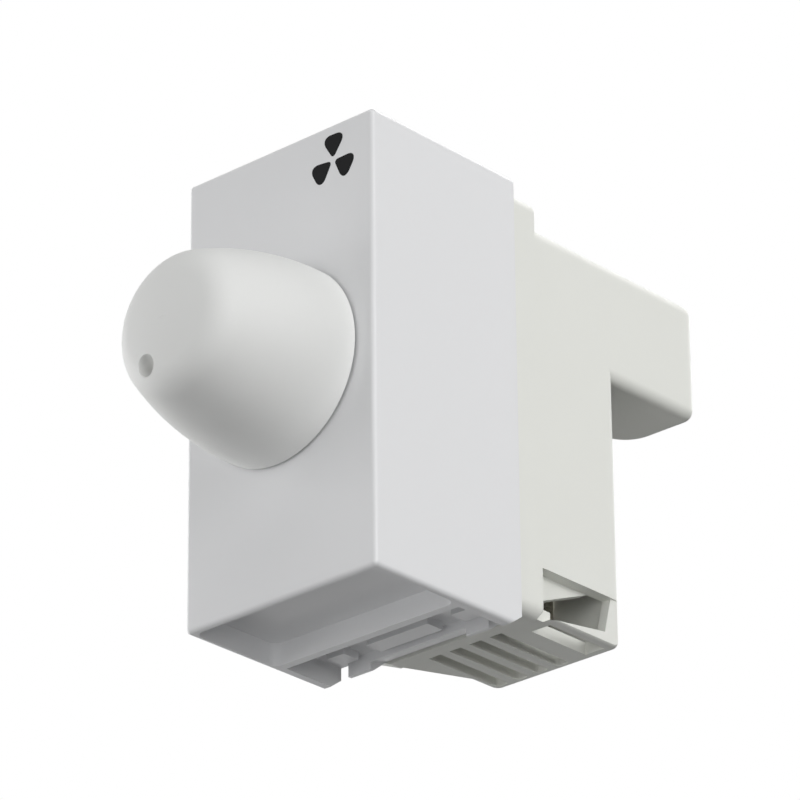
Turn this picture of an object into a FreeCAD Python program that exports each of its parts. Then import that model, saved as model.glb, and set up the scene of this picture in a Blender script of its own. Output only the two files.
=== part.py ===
import FreeCAD, Part
import math
import os
from enum import IntEnum
from types import SimpleNamespace

import Sketcher

# A rotary fan speed control that clips into a wiring frame with 45 mm high modules.
# Frame: millimetres, +Z up, +X to the right seen from the front, the knob points along -Y.
# The origin lies on the knob's axis, in the plane where the cover's stops meet the frame rail.

SIZES = {
    # Front cover
    "face_width": 23.0,
    "face_height": 44.9,
    "front_depth": 12.0,
    "rear_depth": 7.3,
    "front_wall": 1.6,
    "side_wall": 1.1,
    "edge_round": 0.45,
    "recess_lip": 0.6,
    "recess_depth": 2.2,
    "recess_round": 1.0,
    "stop_wall": 0.9,
    "floor_wall": 1.3,
    "rim_chamfer_run": 1.4,
    "rim_chamfer_rise": 1.0,
    "ledge_width": 1.0,
    "ledge_height": 3.0,
    "ledge_offset": 12.0,
    # Snap latch moulded on the cover
    "latch_width": 17.0,
    "latch_slot": 0.7,
    "latch_root": 1.2,
    "catch_reach": 6.2,
    "catch_inset": 0.5,
    "catch_middle_inset": 1.25,
    "catch_tab_width": 2.7,
    "catch_land": 0.4,
    "catch_length": 2.4,
    "catch_tail": 0.2,
    "rib_start": 3.4,
    "rib_height": 0.8,
    "rib_gap": 0.8,
    "rib_side_width": 2.0,
    "rib_middle_width": 7.4,
    "latch_flex_gap": 0.8,
    "latch_side_gap": 0.5,
    # Rear housing
    "collar_inset": 0.4,
    "collar_drop": 1.95,
    "collar_crest_drop": 1.05,
    "collar_depth": 3.3,
    "collar_round": 1.2,
    "collar_slant_run": 5.1,
    "collar_slant_rise": 2.1,
    "mouth_height": 34.4,
    "body_inset": 0.7,
    "housing_wall": 1.2,
    "slant_wall": 1.3,
    "housing_top": 19.2,
    "housing_bottom": 19.85,
    "lower_back": 22.1,
    "upper_back": 34.4,
    "step_height": 7.15,
    "left_front_x": -7.8,
    "left_lower_x": -4.4,
    "left_upper_x": 2.6,
    "outer_round": 1.0,
    "back_round": 3.6,
    "upper_round": 1.4,
    "top_round": 1.3,
    "bottom_round": 0.6,
    "step_round": 1.0,
    "spigot_wall": 1.0,
    "spigot_height": 32.0,
    "spigot_clearance": 0.15,
    "snap_front": 2.6,
    "snap_back": 4.8,
    "snap_width": 8.0,
    "snap_proud": 0.5,
    "snap_clearance": 0.2,
    # Side window and underside vents
    "window_front": 11.1,
    "window_top": 15.3,
    "window_rear_top": 20.8,
    "window_rear_low": 19.9,
    "window_rail": 18.8,
    "window_rail_front": 12.4,
    "window_step": 0.2,
    "gusset_wall": 1.1,
    "gusset_land": 1.0,
    "gusset_length": 8.0,
    "gusset_drop": 3.2,
    "vent_width": 1.4,
    "vent_pitch": 2.45,
    "vent_round": 0.5,
    "vent_count": 4,
    "vent_front_margin": 0.3,
    "vent_end_margin": 0.8,
    "vent_bar_width": 2.25,
    "side_vent_width": 2.2,
    "side_vent_margin": 2.8,
    # Knob
    "knob_gap": 0.3,
    "knob_length": 14.65,
    "knob_base_radius": 9.5,
    "knob_end_radius": 6.3,
    "knob_side_arc": 30.8,
    "knob_dome": 0.85,
    "knob_rim_round": 3.2,
    "knob_wall": 1.6,
    "knob_hollow_depth": 9.2,
    "knob_hollow_taper": 1.4,
    "hub_wall": 1.5,
    "hub_recess": 3.2,
    "hub_flat_overlap": 0.2,
    "dimple_radius": 1.05,
    "dimple_depth": 0.8,
    "dimple_offset": 4.65,
    "dimple_angle": 211.0,
    "spring_wall": 0.5,
    "spring_length": 3.0,
    "spring_setback": 1.5,
    "spring_slit": 2.0,
    "spring_clearance": 0.05,
    # Potentiometer
    "shaft_radius": 3.0,
    "shaft_flat": 1.6,
    "shaft_end_gap": 0.2,
    "shaft_running_clearance": 0.05,
    "bushing_wall": 0.5,
    "bushing_reach": 3.0,
    "bushing_clearance": 0.2,
    "pot_plate_wall": 0.9,
    "pot_plate_side": 14.0,
    "washer_wall": 0.5,
    "washer_radius": 6.0,
    "nut_wall": 2.0,
    "nut_flats": 10.0,
    "track_wall": 1.2,
    "track_hole_radius": 3.6,
    "track_tab_width": 13.0,
    "track_tab_reach": 12.9,
    "case_radius": 8.2,
    "case_wall": 0.5,
    "case_overhang": 0.2,
    "case_depth": 4.7,
    "wiper_radius": 6.0,
    "wiper_wall": 1.8,
    "wiper_gap": 0.7,
    "wiper_finger_radius": 0.9,
    "wiper_finger_offset": 4.6,
    "wiper_finger_gap": 0.2,
    "shaft_tail": 0.8,
    "pin_pitch": 5.0,
    "pin_drop": 11.2,
    "pin_width": 1.0,
    "pin_wall": 0.5,
    "pin_head": 0.4,
    "pin_tail": 0.2,
    # Circuit board
    "board_front": 2.8,
    "board_wall": 1.6,
    "board_clearance": 0.4,
    "board_round": 1.0,
    "board_gap": 0.3,
    "parts_side_gap": 0.3,
    "lead_radius": 0.35,
    "lead_tail": 0.5,
    "lead_clearance": 0.15,
    # Heat sink and triac
    "sink_wall": 1.2,
    "sink_height": 8.2,
    "sink_centre_z": 12.9,
    "sink_front": 1.0,
    "sink_end_gap": 0.4,
    "sink_side_gap": 0.3,
    "triac_wall": 2.7,
    "triac_width": 7.8,
    "triac_length": 10.8,
    "triac_front": 4.0,
    "triac_hole_setback": 3.8,
    "triac_lead_pitch": 2.3,
    "triac_lead_width": 0.8,
    "triac_lead_wall": 0.5,
    "sink_screw_radius": 1.5,
    "sink_screw_head_radius": 2.6,
    "sink_screw_head": 1.6,
    "screw_clearance": 0.1,
    "screw_slot_width": 0.8,
    "screw_slot_depth": 0.7,
    # Choke
    "choke_end_gap": 3.75,
    "choke_radius": 4.2,
    "choke_length": 9.4,
    "choke_flange": 1.3,
    "choke_neck_radius": 2.2,
    "choke_winding_radius": 3.8,
    "choke_lead_offset": 3.2,
    # Capacitors, resistors and diac
    "snubber_z": 10.6,
    "snubber_thickness": 5.6,
    "snubber_width": 12.4,
    "snubber_height": 8.4,
    "snubber_pitch": 10.0,
    "timing_x": -0.4,
    "timing_z": 8.6,
    "timing_thickness": 2.6,
    "timing_width": 7.2,
    "timing_height": 6.4,
    "timing_pitch": 5.0,
    "capacitor_round": 0.4,
    "resistor_side_gap": 0.9,
    "resistor_spacing": 3.0,
    "resistor_z": -4.9,
    "resistor_radius": 1.15,
    "resistor_length": 6.3,
    "resistor_pitch": 10.0,
    "diac_x": 3.4,
    "diac_z": 3.6,
    "diac_radius": 0.95,
    "diac_length": 4.0,
    "diac_pitch": 7.0,
    # Screw terminals
    "cage_thickness": 5.6,
    "cage_length": 7.6,
    "cage_height": 6.8,
    "cage_seat_gap": 0.2,
    "terminal_x": 1.2,
    "wire_inset": 2.6,
    "wire_radius": 1.6,
    "line_z": -4.0,
    "load_z": -12.5,
    "wire_window": 4.8,
    "clamp_screw_radius": 1.5,
    "clamp_screw_setback": 3.8,
    "clamp_head_radius": 1.9,
    "clamp_head": 1.4,
    "clamp_tip_gap": 0.2,
    "driver_hole_radius": 2.1,
    "leg_wall": 0.8,
    "leg_width": 2.4,
    "leg_inset": 0.1,
}

SHEET = "Sizes"
PLAN = "XY_Plane"
FRONT = "XZ_Plane"
SIDE = "YZ_Plane"
NUT_CORNER_COUNT = 6
UP = FreeCAD.Vector(0, 0, 1)


class Point(IntEnum):
    """The points of an edge as a sketch counts them."""

    START = 1
    END = 2
    CENTRE = 3


class Size:
    """A length together with the spreadsheet formula that gives it."""

    def __init__(self, value, formula):
        self.value = value
        self.formula = formula

    @staticmethod
    def of(number):
        """Return number itself if it is a Size, or a Size without a cell."""
        if isinstance(number, Size):
            return number
        return Size(float(number), f"({float(number)})")

    def joined(self, sign, other, value):
        """Return the Size of a formula with this one on its left side."""
        return Size(value, f"({self.formula} {sign} {other.formula})")

    def __add__(self, other):
        other = Size.of(other)
        return self.joined("+", other, self.value + other.value)

    def __radd__(self, other):
        return Size.of(other) + self

    def __sub__(self, other):
        other = Size.of(other)
        return self.joined("-", other, self.value - other.value)

    def __rsub__(self, other):
        return Size.of(other) - self

    def __mul__(self, other):
        other = Size.of(other)
        return self.joined("*", other, self.value * other.value)

    def __rmul__(self, other):
        return Size.of(other) * self

    def __truediv__(self, other):
        other = Size.of(other)
        return self.joined("/", other, self.value / other.value)

    def __neg__(self):
        return Size(-self.value, f"(0 - {self.formula})")


def make_sheet(doc):
    """Write the driving sizes to the spreadsheet and return them as Size values."""
    sheet = doc.addObject("Spreadsheet::Sheet", SHEET)
    for row, (name, value) in enumerate(SIZES.items(), start=1):
        sheet.set(f"A{row}", name)
        sheet.set(f"B{row}", str(value))
        sheet.setAlias(f"B{row}", name)
    doc.recompute()
    cells = {name: Size(value, f"{SHEET}.{name}") for name, value in SIZES.items()}
    return SimpleNamespace(**cells)


DOC = FreeCAD.newDocument("FanSpeedControl")
D = make_sheet(DOC)


def bind(target, prop, size):
    """Tie one property of an object to the sheet."""
    target.setExpression(prop, Size.of(size).formula)


def place(target, x=0, y=0, z=0):
    """Tie the position of a sub-part to the sheet."""
    for axis, size in zip("xyz", (x, y, z)):
        bind(target, f"Placement.Base.{axis}", size)


def origin_feature(body, role):
    """Return one of the body's own origin planes or axes."""
    return next(item for item in body.Origin.OriginFeatures if item.Role == role)


def new_body(label):
    """Return an empty body that will be written under this label."""
    body = DOC.addObject("PartDesign::Body", label)
    body.Label = label
    return body


def new_sketch(body, name, plane, at):
    """Return a sketch on a plane of the body, moved to a coordinate along its axis."""
    sketch = body.newObject("Sketcher::SketchObject", name)
    sketch.AttachmentSupport = [(origin_feature(body, plane), "")]
    sketch.MapMode = "FlatFace"
    offset = -Size.of(at) if plane == FRONT else Size.of(at)
    bind(sketch, "AttachmentOffset.Base.z", offset)
    return sketch


def limit(sketch, kind, where, size):
    """Add one dimension to a sketch and tie it to the sheet."""
    size = Size.of(size)
    index = sketch.addConstraint(Sketcher.Constraint(kind, *where, size.value))
    bind(sketch, f"Constraints[{index}]", size)


def pin_point(sketch, geometry, point, u, v):
    """Fix a point of a sketch by its distances from the sketch's origin."""
    origin = (-1, Point.START)
    limit(sketch, "DistanceX", (*origin, geometry, point), u)
    limit(sketch, "DistanceY", (*origin, geometry, point), v)


def arc_between(start, end, radius, turn):
    """Return the short arc from start to end; turn is +1 for anticlockwise, -1 for clockwise."""
    middle = (start + end) / 2
    chord = end - start
    height = math.sqrt(radius ** 2 - (chord.Length / 2) ** 2)
    across = UP.cross(chord).normalize()
    centre = middle + across * height * turn
    first, last = (start, end) if turn > 0 else (end, start)
    first_angle = math.atan2(first.y - centre.y, first.x - centre.x)
    last_angle = math.atan2(last.y - centre.y, last.x - centre.x)
    if last_angle < first_angle:
        last_angle += 2 * math.pi
    return Part.ArcOfCircle(Part.Circle(centre, UP, radius), first_angle, last_angle)


def add_outline(sketch, corners, arcs=None):
    """Add a closed outline; arcs maps an edge's number to its radius and turn."""
    arcs = arcs or {}
    sizes = [(Size.of(u), Size.of(v)) for u, v in corners]
    points = [FreeCAD.Vector(u.value, v.value, 0) for u, v in sizes]
    edges = []
    for number, start in enumerate(points):
        end = points[(number + 1) % len(points)]
        if number in arcs:
            radius, turn = arcs[number]
            geometry = sketch.addGeometry(arc_between(start, end, radius.value, turn), False)
            ends = (Point.START, Point.END) if turn > 0 else (Point.END, Point.START)
            edges.append((geometry, *ends))
        else:
            geometry = sketch.addGeometry(Part.LineSegment(start, end), False)
            edges.append((geometry, Point.START, Point.END))
    for number, (geometry, _, tail) in enumerate(edges):
        following, head, _ = edges[(number + 1) % len(edges)]
        sketch.addConstraint(Sketcher.Constraint("Coincident", geometry, tail, following, head))
    for (geometry, head, _), (u, v) in zip(edges, sizes):
        pin_point(sketch, geometry, head, u, v)
    for number, (radius, _) in arcs.items():
        limit(sketch, "Radius", (edges[number][0],), radius)


def add_rectangle(sketch, left, right, low, high):
    """Add an upright rectangle."""
    add_outline(sketch, [(left, low), (right, low), (right, high), (left, high)])


def add_rounded_rectangle(sketch, left, right, low, high, radius):
    """Add an upright rectangle with round corners."""
    left, right, low, high = (Size.of(side) for side in (left, right, low, high))
    corners = [
        (left + radius, low), (right - radius, low),
        (right, low + radius), (right, high - radius),
        (right - radius, high), (left + radius, high),
        (left, high - radius), (left, low + radius),
    ]
    add_outline(sketch, corners, {edge: (radius, 1) for edge in (1, 3, 5, 7)})


def add_circle(sketch, u, v, radius):
    """Add a full circle."""
    u, v, radius = Size.of(u), Size.of(v), Size.of(radius)
    centre = FreeCAD.Vector(u.value, v.value, 0)
    geometry = sketch.addGeometry(Part.Circle(centre, UP, radius.value), False)
    pin_point(sketch, geometry, Point.CENTRE, u, v)
    limit(sketch, "Radius", (geometry,), radius)


def volume(body):
    """Return the body's volume so far."""
    return 0.0 if body.Shape.isNull() else body.Shape.Volume


def settle(body, feature, before, cut):
    """Recompute the model and make sure that a feature added or removed material."""
    DOC.recompute()
    change = before - volume(body) if cut else volume(body) - before
    if change <= 0:
        raise RuntimeError(f"{feature.Name} changes nothing")
    return feature


def extrude(body, name, plane, start, end, draw, cut=False):
    """Pad or cut a drawn profile from start to end along the plane's own axis."""
    before = volume(body)
    sketch = new_sketch(body, f"{name}_profile", plane, start)
    draw(sketch)
    feature = body.newObject("PartDesign::Pocket" if cut else "PartDesign::Pad", name)
    feature.Profile = sketch
    bind(feature, "Length", Size.of(end) - start)
    feature.Reversed = (plane == FRONT) != cut
    sketch.Visibility = False
    return settle(body, feature, before, cut)


def revolve(body, name, draw):
    """Turn a drawn profile (radius, y) about the Y axis."""
    sketch = new_sketch(body, f"{name}_profile", PLAN, 0)
    draw(sketch)
    feature = body.newObject("PartDesign::Revolution", name)
    feature.Profile = sketch
    feature.ReferenceAxis = (sketch, ["V_Axis"])
    feature.Angle = 360
    return settle(body, feature, 0.0, False)


def round_edges(body, name, radius, chosen):
    """Round the edges of the body that a test chooses."""
    base = body.Tip
    edges = [f"Edge{i}" for i, edge in enumerate(base.Shape.Edges, start=1) if chosen(edge)]
    if not edges:
        raise RuntimeError(f"{name} finds no edges")
    fillet = body.newObject("PartDesign::Fillet", name)
    fillet.Base = (base, edges)
    bind(fillet, "Radius", radius)
    DOC.recompute()
    return fillet


def mirror_upwards(body, name, features):
    """Repeat features of the lower side on the upper side."""
    before = volume(body)
    mirror = body.newObject("PartDesign::Mirrored", name)
    mirror.Originals = features
    mirror.MirrorPlane = (origin_feature(body, PLAN), [""])
    body.Tip = mirror
    DOC.recompute()
    if volume(body) == before:
        raise RuntimeError(f"{name} changes nothing")
    return mirror


def near(first, second):
    """Tell whether two coordinates are the same place."""
    return abs(first - second) < 1e-4


def lies_at(edge, axis, size):
    """Tell whether a whole edge lies at one coordinate of an axis (0 x, 1 y, 2 z)."""
    target = Size.of(size).value
    box = edge.BoundBox
    low = (box.XMin, box.YMin, box.ZMin)[axis]
    high = (box.XMax, box.YMax, box.ZMax)[axis]
    return near(low, target) and near(high, target)


# Places that several pieces share
HALF_WIDTH = D.face_width / 2
HALF_HEIGHT = D.face_height / 2
FACE_Y = -D.front_depth
INNER_FACE_Y = FACE_Y + D.front_wall
RIM_Y = D.rear_depth
BAY_HALF_WIDTH = HALF_WIDTH - D.side_wall
FLOOR_OUT = HALF_HEIGHT - D.recess_depth
FLOOR_IN = FLOOR_OUT - D.floor_wall
LATCH_HALF = D.latch_width / 2
CATCH_END_Y = D.catch_reach + D.catch_length
BOARD_FRONT_Y = -D.board_front
BOARD_BACK_Y = BOARD_FRONT_Y + D.board_wall
PARTS_Y = BOARD_BACK_Y + D.board_gap
SPIGOT_OUT = BAY_HALF_WIDTH - D.spigot_clearance
SPIGOT_IN = SPIGOT_OUT - D.spigot_wall
COLLAR_BACK_Y = RIM_Y + D.collar_depth
COLLAR_TOP = HALF_HEIGHT - D.collar_drop
COLLAR_CREST = HALF_HEIGHT - D.collar_crest_drop
BODY_RIGHT = HALF_WIDTH - D.body_inset
INNER_RIGHT = BODY_RIGHT - D.housing_wall
CAGE_BACK_Y = D.lower_back - D.housing_wall - D.cage_seat_gap
CAGE_FRONT_Y = CAGE_BACK_Y - D.cage_length
CAGE_LEFT = D.terminal_x - D.cage_thickness + D.wire_inset
CLAMP_Y = CAGE_BACK_Y - D.clamp_screw_setback
TERMINALS = {"line": D.line_z, "load": D.load_z}
LEG_X = CAGE_LEFT + D.leg_inset + D.leg_wall / 2
BUSHING_OUT = D.shaft_radius + D.shaft_running_clearance + D.bushing_wall
BUSHING_TIP_Y = FACE_Y - D.bushing_reach
TRACK_FRONT_Y = INNER_FACE_Y + D.pot_plate_wall
TRACK_BACK_Y = TRACK_FRONT_Y + D.track_wall
CASE_BACK_Y = TRACK_BACK_Y + D.case_depth
WIPER_FRONT_Y = TRACK_BACK_Y + D.wiper_gap
WIPER_BACK_Y = WIPER_FRONT_Y + D.wiper_wall
PIN_XS = (-D.pin_pitch, Size.of(0), D.pin_pitch)
KNOB_BASE_Y = FACE_Y - D.knob_gap
KNOB_TIP_Y = KNOB_BASE_Y - D.knob_length
KNOB_SHOULDER_Y = KNOB_TIP_Y + D.knob_dome
TRACK_RADIUS = D.case_radius - D.case_overhang
HUB_BORE = D.shaft_radius + D.shaft_running_clearance
HUB_OUT = HUB_BORE + D.hub_wall
HUB_FRONT_Y = KNOB_BASE_Y - D.hub_recess
BORE_END_Y = KNOB_TIP_Y + D.knob_wall
SHAFT_TIP_Y = BORE_END_Y + D.shaft_end_gap
SINK_RIGHT = SPIGOT_IN - D.sink_side_gap
SINK_LEFT = SINK_RIGHT - D.sink_wall
TRIAC_LEFT = SINK_LEFT - D.triac_wall
TRIAC_X = (SINK_LEFT + TRIAC_LEFT) / 2
TRIAC_BACK_Y = D.triac_front + D.triac_length
SINK_SCREW_Y = TRIAC_BACK_Y - D.triac_hole_setback
CHOKE_X = SPIGOT_IN - D.parts_side_gap - D.choke_radius
CHOKE_Z = D.choke_radius + D.choke_end_gap - FLOOR_IN
SNUBBER_X = D.parts_side_gap + D.snubber_thickness / 2 - SPIGOT_IN
FIRST_RESISTOR_X = D.resistor_side_gap + D.resistor_radius - SPIGOT_IN
RESISTOR_XS = (FIRST_RESISTOR_X, FIRST_RESISTOR_X + D.resistor_spacing)
TRIAC_LEAD_ZS = tuple(D.sink_centre_z + D.triac_lead_pitch * step for step in (-1, 0, 1))


def front_cover():
    """The front block: face, side walls, recesses, frame stops and the two moulded latches."""
    body = new_body("front_cover")
    extrude(body, "cover_block", FRONT, FACE_Y, RIM_Y,
            lambda s: add_rectangle(s, -HALF_WIDTH, HALF_WIDTH, -HALF_HEIGHT, HALF_HEIGHT))
    round_edges(body, "cover_edges", D.edge_round, lambda edge: not lies_at(edge, 1, RIM_Y))
    extrude(body, "cover_bay", FRONT, INNER_FACE_Y, RIM_Y,
            lambda s: add_rectangle(s, -BAY_HALF_WIDTH, BAY_HALF_WIDTH, -FLOOR_IN, FLOOR_IN), cut=True)

    recess = extrude(body, "recess", PLAN, -HALF_HEIGHT, -FLOOR_OUT,
                     lambda s: add_rounded_rectangle(s, D.recess_lip - HALF_WIDTH,
                                                     HALF_WIDTH - D.recess_lip,
                                                     FACE_Y + D.recess_lip, -D.stop_wall,
                                                     D.recess_round), cut=True)
    rail = extrude(body, "rail_pocket", PLAN, -HALF_HEIGHT, -FLOOR_OUT,
                   lambda s: add_rectangle(s, -BAY_HALF_WIDTH, BAY_HALF_WIDTH, 0, RIM_Y), cut=True)

    def draw_slots(sketch):
        slot_out = LATCH_HALF + D.latch_slot
        add_rectangle(sketch, LATCH_HALF, slot_out, D.latch_root, RIM_Y)
        add_rectangle(sketch, -slot_out, -LATCH_HALF, D.latch_root, RIM_Y)

    slots = extrude(body, "latch_slots", PLAN, -FLOOR_OUT, -FLOOR_IN, draw_slots, cut=True)
    rim_corner = [(RIM_Y - D.rim_chamfer_run, -HALF_HEIGHT), (RIM_Y, -HALF_HEIGHT),
                  (RIM_Y, -HALF_HEIGHT + D.rim_chamfer_rise)]
    extrude(body, "rim_chamfer", SIDE, -HALF_WIDTH, HALF_WIDTH, lambda s: add_outline(s, rim_corner),
            cut=True)

    def hook(name, left, right, inset):
        tip_z = inset - HALF_HEIGHT
        side = [(D.catch_reach, -FLOOR_IN), (D.catch_reach, tip_z), (D.catch_reach + D.catch_land, tip_z),
                (CATCH_END_Y, -FLOOR_OUT - D.catch_tail), (CATCH_END_Y, -FLOOR_IN)]
        return extrude(body, name, SIDE, left, right, lambda s: add_outline(s, side))

    tab_in = LATCH_HALF - D.catch_tab_width
    catch = [hook("catch", -LATCH_HALF, LATCH_HALF, D.catch_middle_inset),
             hook("left_tab", -LATCH_HALF, -tab_in, D.catch_inset),
             hook("right_tab", tab_in, LATCH_HALF, D.catch_inset)]

    def draw_ribs(sketch):
        inner, middle, end = LATCH_HALF - D.rib_side_width, D.rib_middle_width / 2, D.catch_reach - D.rib_gap
        for left, right in ((-LATCH_HALF, -inner), (-middle, middle), (inner, LATCH_HALF)):
            add_rectangle(sketch, left, right, D.rib_start, end)

    ribs = extrude(body, "latch_ribs", PLAN, -FLOOR_OUT - D.rib_height, -FLOOR_OUT, draw_ribs)
    mirror_upwards(body, "upper_side", [recess, rail, slots, *catch, ribs])

    extrude(body, "bushing_hole", FRONT, FACE_Y, INNER_FACE_Y,
            lambda s: add_circle(s, 0, 0, BUSHING_OUT + D.bushing_clearance), cut=True)

    def draw_ledges(sketch):
        inner = BAY_HALF_WIDTH - D.ledge_width
        for middle in (-D.ledge_offset, D.ledge_offset):
            low, high = middle - D.ledge_height / 2, middle + D.ledge_height / 2
            add_rectangle(sketch, -BAY_HALF_WIDTH, -inner, low, high)
            add_rectangle(sketch, inner, BAY_HALF_WIDTH, low, high)

    extrude(body, "board_ledges", FRONT, INNER_FACE_Y, BOARD_FRONT_Y, draw_ledges)
    dent = SPIGOT_OUT + D.snap_proud + D.spigot_clearance
    half = D.snap_width / 2 + D.snap_clearance
    extrude(body, "snap_dents", SIDE, -dent, dent,
            lambda s: add_rectangle(s, D.snap_front - D.snap_clearance, D.snap_back + D.snap_clearance,
                                    -half, half), cut=True)
    return body


def left_at(y):
    """Return the x of the housing's slanted left side at a depth."""
    slope = (D.left_upper_x - D.left_front_x) / (D.upper_back - COLLAR_BACK_Y)
    return D.left_front_x + slope * (y - COLLAR_BACK_Y)


def bend_y():
    """Return the depth where the lower left side turns straight back."""
    share = (D.left_lower_x - D.left_front_x) / (D.left_upper_x - D.left_front_x)
    return COLLAR_BACK_Y + share * (D.upper_back - COLLAR_BACK_Y)


def draw_lower(sketch, wall, slant):
    """Draw the plan of the lower housing behind the collar, taken in by its walls."""
    right = BODY_RIGHT - wall
    back = D.lower_back - wall
    add_outline(sketch, [(right, COLLAR_BACK_Y), (right, back), (D.left_lower_x + slant, back),
                         (D.left_lower_x + slant, bend_y()), (D.left_front_x + slant, COLLAR_BACK_Y)])


def draw_upper(sketch, wall, slant):
    """Draw the plan of the deep upper block behind the collar, taken in by its walls."""
    right = BODY_RIGHT - wall
    back = D.upper_back - wall
    add_outline(sketch, [(right, COLLAR_BACK_Y), (right, back), (left_at(back) + slant, back),
                         (D.left_front_x + slant, COLLAR_BACK_Y)])


def round_housing(body):
    """Round the outer corners of the housing's solid block."""
    def upright(edge):
        return near(edge.BoundBox.XLength, 0) and near(edge.BoundBox.YLength, 0)

    def lower_corner(edge):
        return upright(edge) and lies_at(edge, 1, D.lower_back) and edge.BoundBox.ZMin < 0

    def upper_corner(edge):
        return upright(edge) and lies_at(edge, 1, D.upper_back) and lies_at(edge, 0, BODY_RIGHT)

    def slant_corner(edge):
        return upright(edge) and lies_at(edge, 1, D.upper_back) and not lies_at(edge, 0, BODY_RIGHT)

    def runs_behind(edge, z, y, radius):
        return lies_at(edge, 2, z) and edge.BoundBox.YMax > y.value + radius.value

    round_edges(body, "slant_corner", D.back_round, slant_corner)
    round_edges(body, "upper_corner", D.upper_round, upper_corner)
    round_edges(body, "lower_corners", D.outer_round, lower_corner)
    round_edges(body, "top_edges", D.top_round,
                lambda edge: runs_behind(edge, D.housing_top, COLLAR_BACK_Y, D.top_round))
    round_edges(body, "bottom_edges", D.bottom_round,
                lambda edge: runs_behind(edge, -D.housing_bottom, COLLAR_BACK_Y, D.bottom_round))
    round_edges(body, "step_edges", D.step_round,
                lambda edge: runs_behind(edge, D.step_height, D.lower_back, D.step_round))


def hollow_housing(body):
    """Open the housing to the front and leave its walls."""
    mouth = D.mouth_height / 2
    left = D.left_front_x + D.slant_wall
    extrude(body, "mouth", FRONT, RIM_Y, COLLAR_BACK_Y - D.housing_wall,
            lambda s: add_rectangle(s, -SPIGOT_IN, SPIGOT_IN, -mouth, mouth), cut=True)
    extrude(body, "throat", FRONT, RIM_Y, COLLAR_BACK_Y,
            lambda s: add_rectangle(s, left, SPIGOT_IN, -mouth, mouth), cut=True)
    extrude(body, "lower_room", PLAN, D.housing_wall - D.housing_bottom, D.step_height + D.housing_wall,
            lambda s: draw_lower(s, D.housing_wall, D.slant_wall), cut=True)
    extrude(body, "upper_room", PLAN, D.step_height + D.housing_wall, D.housing_top - D.housing_wall,
            lambda s: draw_upper(s, D.housing_wall, D.slant_wall), cut=True)


def pierce_housing(body):
    """Cut the side window, the vents, the wire entries and the driver holes."""
    window = [(D.window_front, -D.window_top), (D.window_rear_top, -D.window_top),
              (D.window_rear_low, -D.window_rail), (D.window_rail_front, -D.housing_bottom),
              (D.window_front, -D.housing_bottom)]
    extrude(body, "side_window", SIDE, INNER_RIGHT, BODY_RIGHT, lambda s: add_outline(s, window), cut=True)
    extrude(body, "window_frame", SIDE, BODY_RIGHT - D.window_step, BODY_RIGHT,
            lambda s: add_rectangle(s, D.window_front, D.lower_back, -D.housing_bottom, -D.window_top),
            cut=True)
    shelf = -D.window_top + D.gusset_land
    web = [(COLLAR_BACK_Y, shelf), (COLLAR_BACK_Y + D.gusset_length, shelf),
           (COLLAR_BACK_Y + D.gusset_length, -D.window_top),
           (COLLAR_BACK_Y, -D.window_top - D.gusset_drop)]
    extrude(body, "window_gusset", SIDE, INNER_RIGHT - D.gusset_wall, INNER_RIGHT,
            lambda s: add_outline(s, web))

    vent_front, vent_back = COLLAR_BACK_Y + D.vent_front_margin, D.lower_back - D.vent_end_margin
    side_vent = INNER_RIGHT - D.side_vent_width
    slot_right = side_vent - D.vent_bar_width
    extrude(body, "side_vent", PLAN, -D.housing_bottom, D.housing_wall - D.housing_bottom,
            lambda s: add_rectangle(s, side_vent, INNER_RIGHT, COLLAR_BACK_Y + D.side_vent_margin,
                                    D.lower_back - D.housing_wall), cut=True)
    slot = extrude(body, "vent", PLAN, -D.housing_bottom, D.housing_wall - D.housing_bottom,
                   lambda s: add_rounded_rectangle(s, slot_right - D.vent_width, slot_right, vent_front,
                                                   vent_back, D.vent_round), cut=True)
    vents = body.newObject("PartDesign::LinearPattern", "vents")
    vents.Originals = [slot]
    vents.Direction = (origin_feature(body, "X_Axis"), [""])
    vents.Reversed = True
    bind(vents, "Length", D.vent_pitch * (D.vent_count - 1))
    bind(vents, "Occurrences", D.vent_count)
    body.Tip = vents
    DOC.recompute()

    def draw_wire_entries(sketch):
        half = D.wire_window / 2
        for z in TERMINALS.values():
            add_rectangle(sketch, D.terminal_x - half, D.terminal_x + half, z - half, z + half)

    extrude(body, "wire_entries", FRONT, D.lower_back - D.housing_wall, D.lower_back,
            draw_wire_entries, cut=True)

    def draw_driver_holes(sketch):
        for z in TERMINALS.values():
            add_circle(sketch, CLAMP_Y, z, D.driver_hole_radius)

    extrude(body, "driver_holes", SIDE, D.left_front_x, D.left_lower_x + D.slant_wall,
            draw_driver_holes, cut=True)


def draw_collar(sketch):
    """Draw the collar's outline, with a slanted corner at the lower left."""
    side, top, crest, turn = HALF_WIDTH - D.collar_inset, COLLAR_TOP, COLLAR_CREST, D.collar_round
    corners = [(D.collar_slant_run - side, -top), (side - turn, -top),
               (side, turn - top), (side, crest - turn),
               (side - turn, crest), (turn - side, crest),
               (-side, crest - turn), (-side, D.collar_slant_rise - top)]
    add_outline(sketch, corners, {edge: (turn, 1) for edge in (1, 3, 5)})


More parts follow.
